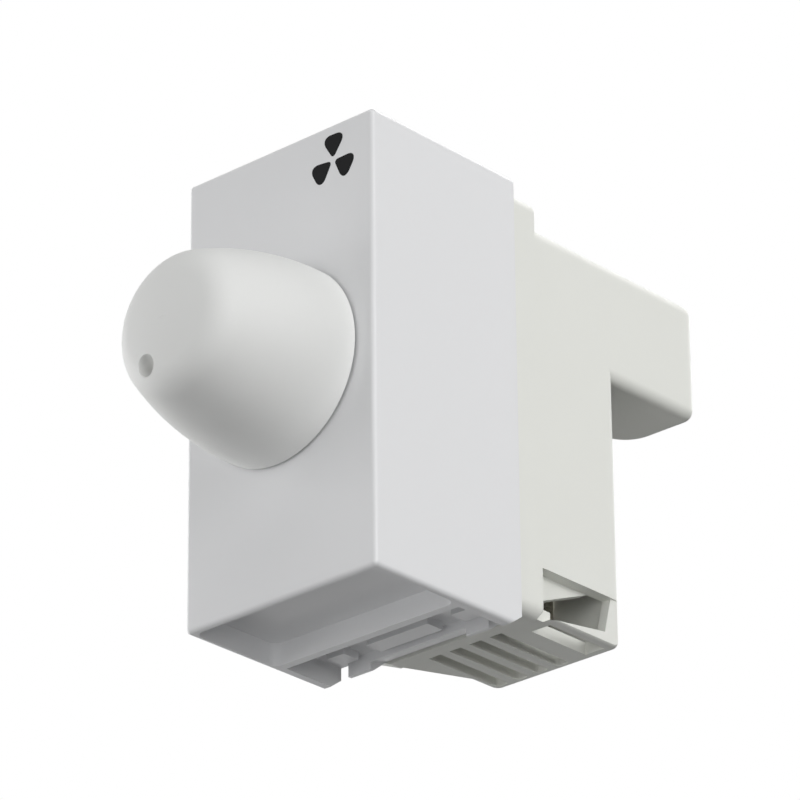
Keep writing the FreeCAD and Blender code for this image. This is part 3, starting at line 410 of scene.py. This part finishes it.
@dataclass(frozen=True)
class Laminate(Finish):
    """Sheet laminate with pressed fibres, and a round carbon track where it has one."""

    colour: Colour
    pale: Colour
    roughness: float
    spread: float = 0.2
    fibre: float = 0.5 * MM
    fleck: float = 0.9 * MM
    fleck_share: float = 0.5
    relief: float = 0.006 * MM
    track_radius: float = 0.0
    track_half: float = 0.0
    track: Colour = (0.02, 0.02, 0.022)

    def mix(self, shader: Shader) -> None:
        """Lay the fibres and the track on a shader.

        Args:
            shader: The new material's shader.
        """
        across = shader.noise(self.fibre, detail=4.0, lay=Lay.ROUND_Y)
        fleck = shader.noise(self.fleck, detail=5.0)
        tone = across * (1 - self.fleck_share) + fleck * self.fleck_share
        colour = shader.blend(tone, self.colour, self.pale)
        if self.track_radius:
            x, _, z = shader.coordinates()
            ring = ((x * x + z * z) ** 0.5).within(self.track_radius, self.track_half)
            colour = shader.blend(ring, colour, self.track)
        shader.lay({"Base Color": colour,
                    "Roughness": fleck.around(self.roughness, self.spread)})
        shader.relief(tone, self.relief)


@dataclass(frozen=True)
class Band:
    """One colour ring of a small axial part, by its distance from the part's middle."""

    offset: float
    half: float
    ring: Ring


@dataclass(frozen=True)
class Ringed(Finish):
    """A lacquered or glass body along Z with colour rings and tinned leads at its ends."""

    middle: float
    half: float
    colour: Colour
    shade: Colour
    roughness: float
    bands: tuple[Band, ...]
    spread: float = 0.12
    cloud: float = 1.2 * MM
    relief: float = 0.01 * MM
    lead: Colour = (0.78, 0.78, 0.76)

    def mix(self, shader: Shader) -> None:
        """Lay the body's colour, its rings and its bright leads on a shader.

        Args:
            shader: The new material's shader.
        """
        _, _, z = shader.coordinates()
        cloud = shader.noise(self.cloud, detail=3.0)
        colour = shader.blend(cloud, self.colour, self.shade)
        for band in self.bands:
            place = z.within(self.middle + band.offset, band.half)
            colour = shader.blend(place, colour, band.ring.value)
        body = z.within(self.middle, self.half)
        shader.lay({"Base Color": shader.blend(body, self.lead, colour),
                    "Metallic": 1.0 - body,
                    "Roughness": cloud.around(self.roughness, self.spread)})
        shader.relief(cloud, self.relief)


PLATED_STEEL = Metal(
    "plated_steel", colour=(0.74, 0.74, 0.75), tarnish=(0.60, 0.60, 0.62),
    roughness=0.28, spread=0.12, line=0.20 * MM, relief=0.004 * MM)
TINNED_METAL = Metal(
    "tinned_metal", colour=(0.80, 0.80, 0.78), tarnish=(0.64, 0.64, 0.63),
    roughness=0.34, spread=0.14, line=0.30 * MM, relief=0.006 * MM)
BLACK_MOULDING = Moulding(
    "black_moulding", colour=(0.024, 0.024, 0.026), shade=(0.042, 0.042, 0.044),
    roughness=0.52, spread=0.16, grain=0.06 * MM, relief=0.004 * MM, cloud=2 * MM)


def middle_of(node: str) -> Vector:
    """Find the middle of a CAD node's box.

    Args:
        node: The node's name.

    Returns:
        The point.
    """
    low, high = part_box(node)
    return (low + high) / 2


@contextmanager
def edited(piece: bpy.types.Object, element: Element = Element.POINT,
           chosen: Sequence[int] | None = None) -> Iterator[None]:
    """Hold a piece in edit mode with some of its points, edges or faces selected.

    Args:
        piece: The active piece, in object mode.
        element: Which of them.
        chosen: Their numbers, or None for all.

    Returns:
        The stay in edit mode, which ends in object mode.
    """
    mode, members = element.value
    bpy.ops.object.mode_set(mode="EDIT")
    bpy.ops.mesh.select_mode(type=mode)
    bpy.ops.mesh.select_all(action="SELECT" if chosen is None else "DESELECT")
    if chosen is not None:
        # The marks on the mesh are read when edit mode starts.
        bpy.ops.object.mode_set(mode="OBJECT")
        for number in chosen:
            getattr(piece.data, members)[number].select = True
        bpy.ops.object.mode_set(mode="EDIT")
    yield
    bpy.ops.object.mode_set(mode="OBJECT")


def rim(piece: bpy.types.Object, x: float) -> list[int]:
    """Find the edges that lie in one plane across X.

    Args:
        piece: The piece, in object mode.
        x: The plane's place.

    Returns:
        The edges' numbers.
    """
    points = piece.data.vertices
    return [edge.index for edge in piece.data.edges
            if all(abs(points[number].co.x - x) < SAME_PLACE for number in edge.vertices)]


def settle_piece(piece: bpy.types.Object, name: str, finish: Finish, body: Body,
                 node: str = "") -> None:
    """Name a finished piece, move its place into its mesh, dress it and let it ride.

    Args:
        piece: The active and only selected piece.
        name: The piece's name.
        finish: What it looks like.
        body: What it moves with.
        node: The CAD node that it stands for, if any, which it hides.
    """
    bpy.ops.object.transform_apply(location=True, rotation=True, scale=True)
    piece.name = piece.data.name = name
    piece.data.materials.clear()
    piece.data.materials.append(finish.material())
    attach(piece, body.value)
    if node:
        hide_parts(node)
    log.info("%s: %d faces", name, len(piece.data.polygons))


def dress(finish: Finish, *nodes: str) -> None:
    """Put a finish on CAD nodes.

    Args:
        finish: What they look like.
        nodes: The nodes' names.
    """
    material = finish.material()
    for name in nodes:
        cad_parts[name].material_slots[0].material = material
        log.info("%s: %s", name, finish.slot)


@dataclass
class Shells:
    """The three white mouldings that make the outside."""

    cover: Finish = Moulding(
        "cover_plastic", colour=(0.818, 0.822, 0.831), shade=(0.798, 0.803, 0.813),
        roughness=0.38, spread=0.10, grain=0.10 * MM, relief=0.0008 * MM, coat=0.10)
    housing: Finish = Moulding(
        "housing_plastic", colour=(0.860, 0.868, 0.822), shade=(0.834, 0.842, 0.794),
        roughness=0.50, spread=0.12, grain=0.08 * MM, relief=0.0020 * MM, ior=1.30)
    # The knob's finish paints shade into its pointer dimple.
    knob: Finish = ShadedDimpleMoulding(
        "knob_plastic", colour=(0.850, 0.856, 0.842), shade=(0.826, 0.832, 0.818),
        roughness=0.56, spread=0.10, grain=0.07 * MM, relief=0.0030 * MM, ior=1.42)

    def dress(self) -> None:
        """Dress the cover, the rear housing and the knob."""
        dress(self.cover, "front_cover")
        dress(self.housing, "rear_housing")
        dress(self.knob, "knob")


@dataclass
class Potentiometer:
    """The potentiometer behind the face, its fixing and the spring in the knob."""

    shaft: Finish = Metal(
        "turned_metal", colour=(0.78, 0.78, 0.78), tarnish=(0.66, 0.66, 0.67),
        roughness=0.30, spread=0.10, line=0.06 * MM, relief=0.004 * MM, lay=Lay.ROUND_Y)
    casting: Finish = Metal(
        "zinc_casting", colour=(0.66, 0.67, 0.69), tarnish=(0.52, 0.53, 0.55),
        roughness=0.42, spread=0.14, line=0.25 * MM, relief=0.012 * MM)
    plate: Finish = PLATED_STEEL
    spring: Finish = Metal(
        "spring_steel", colour=(0.36, 0.37, 0.42), tarnish=(0.22, 0.23, 0.30),
        roughness=0.32, spread=0.10, line=0.05 * MM, relief=0.003 * MM, lay=Lay.ROUND_Y)
    pins: Finish = TINNED_METAL
    rotor: Finish = BLACK_MOULDING
    track: Finish = Laminate(
        "track_board", colour=(0.20, 0.105, 0.045), pale=(0.30, 0.17, 0.08),
        roughness=0.50, track_radius=4.6 * MM, track_half=1.3 * MM)

    def dress(self) -> None:
        """Dress the shaft, its bearing, the can and what is in it."""
        dress(self.shaft, "pot_shaft")
        dress(self.casting, "pot_bushing")
        dress(self.plate, "pot_washer", "pot_nut", "pot_case")
        dress(self.spring, "knob_spring")
        dress(self.pins, "pot_pins")
        dress(self.rotor, "pot_wiper")
        dress(self.track, "pot_track_board")


@dataclass
class PowerBoard:
    """The circuit board with its power stage, choke, capacitors and small parts."""

    board: Finish = Laminate(
        "board_laminate", colour=(0.42, 0.29, 0.13), pale=(0.52, 0.38, 0.19), roughness=0.52)
    sink: Finish = Metal(
        "sink_aluminium", colour=(0.80, 0.81, 0.82), tarnish=(0.68, 0.69, 0.71),
        roughness=0.36, spread=0.14, line=0.12 * MM, relief=0.005 * MM, lay=Lay.ALONG_Y)
    sink_screw: Finish = PLATED_STEEL
    triac: Finish = BLACK_MOULDING
    triac_leads: Finish = TINNED_METAL
    ferrite: Finish = Moulding(
        "ferrite", colour=(0.050, 0.050, 0.054), shade=(0.085, 0.084, 0.088),
        roughness=0.66, spread=0.14, grain=0.12 * MM, relief=0.010 * MM, cloud=2 * MM)
    snubber: Finish = Moulding(
        "capacitor_case", colour=(0.62, 0.45, 0.10), shade=(0.54, 0.38, 0.08),
        roughness=0.40, spread=0.12, grain=0.07 * MM, relief=0.003 * MM, cloud=3 * MM)
    timing: Finish = Moulding(
        "capacitor_film", colour=(0.36, 0.055, 0.030), shade=(0.26, 0.035, 0.020),
        roughness=0.24, spread=0.10, grain=0.30 * MM, relief=0.012 * MM, cloud=2 * MM, coat=0.3)
    ring_half: float = 0.28 * MM
    ring_places: tuple[tuple[float, Ring], ...] = (
        (-2.2 * MM, Ring.BROWN), (-1.2 * MM, Ring.BLACK),
        (-0.2 * MM, Ring.ORANGE), (2.1 * MM, Ring.GOLD))
    resistor_half: float = 3.15 * MM
    diac_half: float = 2.0 * MM
    diac_core_half: float = 0.8 * MM

    def resistor(self) -> Finish:
        """Give the two resistors their lacquer and rings.

        Returns:
            The finish.
        """
        rings = tuple(Band(offset, self.ring_half, ring) for offset, ring in self.ring_places)
        return Ringed("resistor_lacquer", middle=middle_of("resistors").z, half=self.resistor_half,
                      colour=(0.50, 0.34, 0.18), shade=(0.42, 0.27, 0.13), roughness=0.34,
                      bands=rings)

    def diac(self) -> Finish:
        """Give the trigger diode its glass and its dark middle.

        Returns:
            The finish.
        """
        core = Band(0.0, self.diac_core_half, Ring.DARK)
        return Ringed("diac_glass", middle=middle_of("diac").z, half=self.diac_half,
                      colour=(0.34, 0.14, 0.08), shade=(0.26, 0.10, 0.06), roughness=0.14,
                      bands=(core,))

    def dress(self) -> None:
        """Dress the board and everything that stands on it."""
        dress(self.board, "circuit_board")
        dress(self.sink, "heat_sink")
        dress(self.sink_screw, "heat_sink_screw")
        dress(self.triac, "triac_body")
        dress(self.triac_leads, "triac_leads")
        dress(self.ferrite, "choke_core")
        dress(self.snubber, "snubber_capacitor")
        dress(self.timing, "timing_capacitor")
        dress(self.resistor(), "resistors")
        dress(self.diac(), "diac")


@dataclass
class Terminals:
    """The screw terminals of nickel-plated brass."""

    brass: Finish = Metal(
        "brass", colour=(0.64, 0.62, 0.56), tarnish=(0.50, 0.47, 0.39),
        roughness=0.30, spread=0.12, line=0.10 * MM, relief=0.004 * MM, lay=Lay.ALONG_Y)

    def dress(self) -> None:
        """Dress the cages and the straps to the board."""
        dress(self.brass, "terminal_cage_line", "terminal_cage_load", "terminal_legs")


@dataclass
class Winding:
    """The copper wire wound on the choke's bobbin, one turn beside the next."""

    wire: float = 0.40 * MM
    sides: int = 10
    steps: int = 40
    smooth_below: float = math.radians(60)
    enamel: Finish = Metal(
        "copper_wire", colour=(0.70, 0.27, 0.10), tarnish=(0.46, 0.15, 0.05),
        roughness=0.26, spread=0.12, line=0.35 * MM, relief=0.010 * MM, lay=Lay.ROUND_Y)

    def build(self) -> None:
        """Wind the wire in the place of the plain coil."""
        low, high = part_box("choke_winding")
        middle = middle_of("choke_winding")
        radius = (high.x - low.x - self.wire) / 2
        bpy.ops.object.select_all(action="DESELECT")
        bpy.ops.mesh.primitive_circle_add(
            vertices=self.sides, radius=self.wire / 2, fill_type="NOTHING",
            location=(middle.x, low.y, middle.z))
        piece = bpy.context.object
        with edited(piece):
            bpy.ops.transform.translate(value=(radius, self.wire / 2, 0))
        turns = piece.modifiers.new("turns", "SCREW")
        turns.axis = "Y"
        turns.screw_offset = self.wire
        turns.iterations = int((high.y - low.y) / self.wire) - 1
        turns.steps = turns.render_steps = self.steps
        bpy.ops.object.modifier_apply(modifier=turns.name)
        with edited(piece):
            bpy.ops.mesh.fill_holes(sides=self.sides)
            bpy.ops.mesh.normals_make_consistent(inside=False)
        bpy.ops.object.shade_smooth_by_angle(angle=self.smooth_below)
        settle_piece(piece, "choke_wire", self.enamel, Body.HOUSING, "choke_winding")


@dataclass
class ClampScrews:
    """The slotted screws that clamp the wires, seen through the holes in the slanted side."""

    head: float = 1.40 * MM
    shank_step: float = 0.40 * MM
    rim_cut: float = 0.32 * MM
    tip_cut: float = 0.25 * MM
    cut_steps: int = 5
    slot_width: float = 0.75 * MM
    slot_depth: float = 0.70 * MM
    sides: int = 56
    smooth_below: float = math.radians(30)
    first_turn: float = math.radians(20)
    second_turn: float = math.radians(-55)
    steel: Finish = Metal(
        "plated_steel", colour=(0.70, 0.70, 0.70), tarnish=(0.58, 0.58, 0.60),
        roughness=0.36, spread=0.08, line=0.30 * MM, relief=0.001 * MM, lay=Lay.ROUND_X)

    def turned(self, low: Vector, high: Vector) -> bpy.types.Object:
        """Turn the head and the shank along X, with their edges broken.

        Args:
            low: The lowest corner of the screw's box.
            high: The highest corner.

        Returns:
            The screw without its slot.
        """
        middle = (low + high) / 2
        bpy.ops.object.select_all(action="DESELECT")
        bpy.ops.mesh.primitive_cylinder_add(
            vertices=self.sides, radius=(high.z - low.z) / 2, depth=self.head,
            location=(low.x + self.head / 2, middle.y, middle.z), rotation=(0, math.pi / 2, 0))
        bpy.ops.object.transform_apply(location=True, rotation=True, scale=True)
        piece = bpy.context.object
        inner = max(piece.data.polygons, key=lambda face: face.center.x)
        shank = (high.x - low.x - self.head, 0, 0)
        with edited(piece, Element.FACE, [inner.index]):
            bpy.ops.mesh.inset(thickness=self.shank_step)
            bpy.ops.mesh.extrude_region_move(TRANSFORM_OT_translate={"value": shank})
        for place, cut in ((low.x, self.rim_cut), (high.x, self.tip_cut)):
            with edited(piece, Element.EDGE, rim(piece, place)):
                bpy.ops.mesh.bevel(offset_type="OFFSET", offset=cut, segments=self.cut_steps,
                                   affect="EDGES")
        return piece

    def slot(self, piece: bpy.types.Object, low: Vector, high: Vector) -> None:
        """Saw the slot across the head.

        Args:
            piece: The turned screw.
            low: The lowest corner of the screw's box.
            high: The highest corner.
        """
        middle = (low + high) / 2
        bpy.ops.object.select_all(action="DESELECT")
        bpy.ops.mesh.primitive_cube_add(
            size=1, location=(low.x, middle.y, middle.z),
            scale=(2 * self.slot_depth, self.slot_width, 2 * (high.z - low.z)))
        saw = bpy.context.object
        bpy.context.view_layer.objects.active = piece
        cut = piece.modifiers.new("slot", "BOOLEAN")
        cut.operation = "DIFFERENCE"
        cut.solver = "EXACT"
        cut.object = saw
        bpy.ops.object.modifier_apply(modifier=cut.name)
        bpy.data.objects.remove(saw)
        piece.select_set(True)
        bpy.ops.object.shade_smooth_by_angle(angle=self.smooth_below)

    def build(self) -> None:
        """Make the screw once, copy it to the other terminal, and turn each to its own angle."""
        first, second = "terminal_screw_line", "terminal_screw_load"
        low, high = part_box(first)
        piece = self.turned(low, high)
        self.slot(piece, low, high)
        bpy.ops.transform.rotate(value=self.first_turn, orient_axis="X",
                                 center_override=middle_of(first))
        settle_piece(piece, "clamp_screw_line", self.steel, Body.HOUSING, first)
        bpy.ops.object.duplicate(linked=False)
        bpy.ops.transform.translate(value=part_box(second)[0] - low)
        bpy.ops.transform.rotate(value=self.second_turn, orient_axis="X",
                                 center_override=middle_of(second))
        settle_piece(bpy.context.object, "clamp_screw_load", self.steel, Body.HOUSING, second)


@dataclass
class FanMark:
    """The three-blade sign printed on the face."""

    hub_x: float = 6.66 * MM
    hub_z: float = 18.74 * MM
    tip: float = 0.12 * MM
    reach: float = 2.60 * MM
    half_width: float = 1.66 * MM
    outer_cut: float = 1.34 * MM
    outer_steps: int = 12
    tip_cut: float = 0.50 * MM
    tip_steps: int = 5
    film: float = 0.012 * MM
    blade_count: int = 3
    lean: float = math.radians(-2.2)
    ink: Finish = Moulding(
        "mark_ink", colour=(0.017, 0.017, 0.018), shade=(0.024, 0.024, 0.025),
        roughness=0.72, spread=0.1, grain=0.05 * MM, relief=0.001 * MM, ior=1.12)

    def round_corners(self, piece: bpy.types.Object, points: Sequence[int], cut: float,
                      steps: int) -> None:
        """Round corners of the blade's flat outline.

        Args:
            piece: The blade.
            points: The corners' numbers.
            cut: How far the round reaches along the edges.
            steps: The number of edges in the round.
        """
        with edited(piece, Element.POINT, points):
            bpy.ops.mesh.bevel(offset_type="ABSOLUTE", offset=cut, segments=steps, profile=0.5,
                               affect="VERTICES")

    def outline(self) -> bpy.types.Object:
        """Model the flat outline of the blade that points up, with the hub at the origin.

        Returns:
            The outline.
        """
        bpy.ops.object.select_all(action="DESELECT")
        bpy.ops.mesh.primitive_circle_add(vertices=3, radius=MM, fill_type="NGON",
                                          rotation=(math.pi / 2, 0, 0))
        bpy.ops.object.transform_apply(location=True, rotation=True, scale=True)
        piece = bpy.context.object
        left, tip, right = sorted(range(3), key=lambda i: piece.data.vertices[i].co.x)
        places = {right: (self.half_width, self.reach), left: (-self.half_width, self.reach),
                  tip: (0, self.tip)}
        for number, (x, z) in places.items():
            move = Vector((x, 0, z)) - piece.data.vertices[number].co
            with edited(piece, Element.POINT, [number]):
                bpy.ops.transform.translate(value=move)
        self.round_corners(piece, (left, right), self.outer_cut, self.outer_steps)
        points = piece.data.vertices
        lowest = min(range(len(points)), key=lambda i: points[i].co.z)
        self.round_corners(piece, (lowest,), self.tip_cut, self.tip_steps)
        return piece

    def blade(self, hub: Vector) -> bpy.types.Object:
        """Print the blade that points up as a thin film of ink in front of the face.

        Args:
            hub: The middle of the sign, on the face.

        Returns:
            The blade.
        """
        piece = self.outline()
        with edited(piece):
            bpy.ops.mesh.normals_make_consistent(inside=False)
        forward = piece.data.polygons[0].normal.y < 0
        bpy.ops.transform.translate(value=hub)
        film = piece.modifiers.new("film", "SOLIDIFY")
        film.thickness = self.film
        # The ink lies in front of the face, whichever way the outline came out.
        film.offset = 1.0 if forward else -1.0
        bpy.ops.object.modifier_apply(modifier=film.name)
        return piece

    def build(self) -> None:
        """Print the blades round the hub of the sign."""
        hub = Vector((self.hub_x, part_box("front_cover")[0].y, self.hub_z))
        blades = [self.blade(hub)]
        bpy.ops.transform.rotate(value=self.lean, orient_axis="Y", center_override=hub)
        for _ in range(self.blade_count - 1):
            bpy.ops.object.duplicate(linked=False)
            bpy.ops.transform.rotate(value=math.tau / self.blade_count, orient_axis="Y",
                                     center_override=hub)
            blades.append(bpy.context.object)
        for number, piece in enumerate(blades, start=1):
            bpy.ops.object.select_all(action="DESELECT")
            piece.select_set(True)
            bpy.context.view_layer.objects.active = piece
            settle_piece(piece, f"fan_mark_blade_{number}", self.ink, Body.HOUSING)


def direction(azimuth: float, elevation: float) -> Vector:
    """Point from the part towards a place round it.

    Args:
        azimuth: Degrees from the front towards the right side.
        elevation: Degrees above the level.

    Returns:
        The unit vector.
    """
    turn, rise = math.radians(azimuth), math.radians(elevation)
    level = math.cos(rise)
    return Vector((math.sin(turn) * level, -math.cos(turn) * level, math.sin(rise)))


@dataclass(frozen=True)
class Lamp:
    """One soft square lamp, by the direction to it from the part."""

    name: str
    azimuth: float
    elevation: float
    power: float
    distance: float = 0.9
    side: float = 0.8
    spread: float = math.radians(70)

    def build(self, target: Vector) -> None:
        """Hang the lamp so that it shines on a point.

        Args:
            target: The point in the part.
        """
        light = bpy.data.lights.new(self.name, "AREA")
        light.shape = "SQUARE"
        light.size = self.side
        light.energy = self.power
        light.spread = self.spread
        lamp = bpy.data.objects.new(self.name, light)
        lamp.visible_camera = False
        towards = direction(self.azimuth, self.elevation)
        lamp.location = target + towards * self.distance
        lamp.rotation_euler = towards.to_track_quat("Z", "Y").to_euler()
        bpy.context.collection.objects.link(lamp)


@dataclass
class Studio:
    """Soft lamps, an even room, a pale floor far below and a white background."""

    room: float = 0.045
    floor_z: float = -0.62
    floor_side: float = 24.0
    floor_tone: Colour = (0.55, 0.55, 0.55)
    floor_shade: Colour = (0.539, 0.539, 0.539)
    floor_cloud: float = 0.4
    floor_roughness: float = 0.9
    floor_white: float = 0.93
    lamps: tuple[Lamp, ...] = (
        Lamp("side_lamp", azimuth=80.0, elevation=11.0, power=1.51),
        Lamp("front_lamp", azimuth=12.0, elevation=-15.0, power=0.50),
        Lamp("left_lamp", azimuth=-75.0, elevation=5.0, power=1.10),
        Lamp("low_left_lamp", azimuth=-65.0, elevation=-15.0, power=0.34),
        Lamp("top_lamp", azimuth=20.0, elevation=60.0, power=0.32),
        Lamp("back_lamp", azimuth=175.0, elevation=35.0, power=0.95),
    )

    def build_room(self) -> None:
        """Light the part evenly from all round, with white behind it."""
        world = bpy.data.worlds.new("room")
        bpy.context.scene.world = world
        nodes = Nodes(world)
        mix = nodes.node("ShaderNodeMixShader", sockets={
            0: nodes.seen_directly(),
            1: nodes.glow("ShaderNodeBackground", self.room),
            2: nodes.glow("ShaderNodeBackground", 1.0)})
        nodes.node("ShaderNodeOutputWorld", sockets={"Surface": mix.outputs[0]})

    def build_floor(self) -> None:
        """Lay the pale floor that catches the part's shadow."""
        bpy.ops.object.select_all(action="DESELECT")
        bpy.ops.mesh.primitive_plane_add(size=self.floor_side, location=(0, 0, self.floor_z))
        floor = bpy.context.object
        floor.name = "floor"
        shader = Shader("floor_paint")
        cloud = shader.noise(self.floor_cloud)
        shader.lay({"Base Color": shader.blend(cloud, self.floor_tone, self.floor_shade),
                    "Roughness": self.floor_roughness})
        mix = shader.node("ShaderNodeMixShader", sockets={
            0: shader.seen_directly() * self.floor_white,
            1: shader.surface.outputs[0],
            2: shader.glow("ShaderNodeEmission", 1.0)})
        shader.feed(shader.output.inputs["Surface"], mix.outputs[0])
        floor.data.materials.append(shader.material)

    def build(self) -> None:
        """Set up the room, the floor and the lamps."""
        self.build_room()
        self.build_floor()
        middle = (CAD_BOX[0] + CAD_BOX[1]) / 2
        for lamp in self.lamps:
            lamp.build(middle)
        bpy.context.scene.view_settings.view_transform = "Standard"


@dataclass(frozen=True)
class Viewpoint:
    """The camera: from the right front, below the part, with a long lens."""

    azimuth: float = 41.993
    elevation: float = -25.246
    roll: float = -0.533
    distance: float = 0.483634
    focus: tuple[float, float, float] = (0.69147 * MM, 3.36158 * MM, 1.98733 * MM)
    lens: float = 237.78
    sensor: float = 36.0

    def build(self) -> None:
        """Place the camera and make it the scene's own."""
        back = direction(self.azimuth, self.elevation)
        level = (-back).cross(Vector((0, 0, 1))).normalized()
        upright = back.cross(level)
        turn = Matrix.Rotation(math.radians(self.roll), 3, back)
        axes = Matrix((turn @ level, turn @ upright, back)).transposed().to_4x4()
        data = bpy.data.cameras.new("camera")
        data.lens = self.lens
        data.sensor_width = self.sensor
        camera = bpy.data.objects.new("camera", data)
        camera.matrix_world = Matrix.Translation(Vector(self.focus) + back * self.distance) @ axes
        bpy.context.collection.objects.link(camera)
        bpy.context.scene.camera = camera


def main() -> None:
    """Dress the part, model its small pieces and the sign, and set up the studio."""
    logging.basicConfig(level=logging.INFO, format="%(message)s")
    for assembly in (Shells(), Potentiometer(), PowerBoard(), Terminals()):
        assembly.dress()
    for assembly in (Winding(), ClampScrews(), FanMark()):
        assembly.build()
    Studio().build()
    Viewpoint().build()


if __name__ == "__main__":
    main()
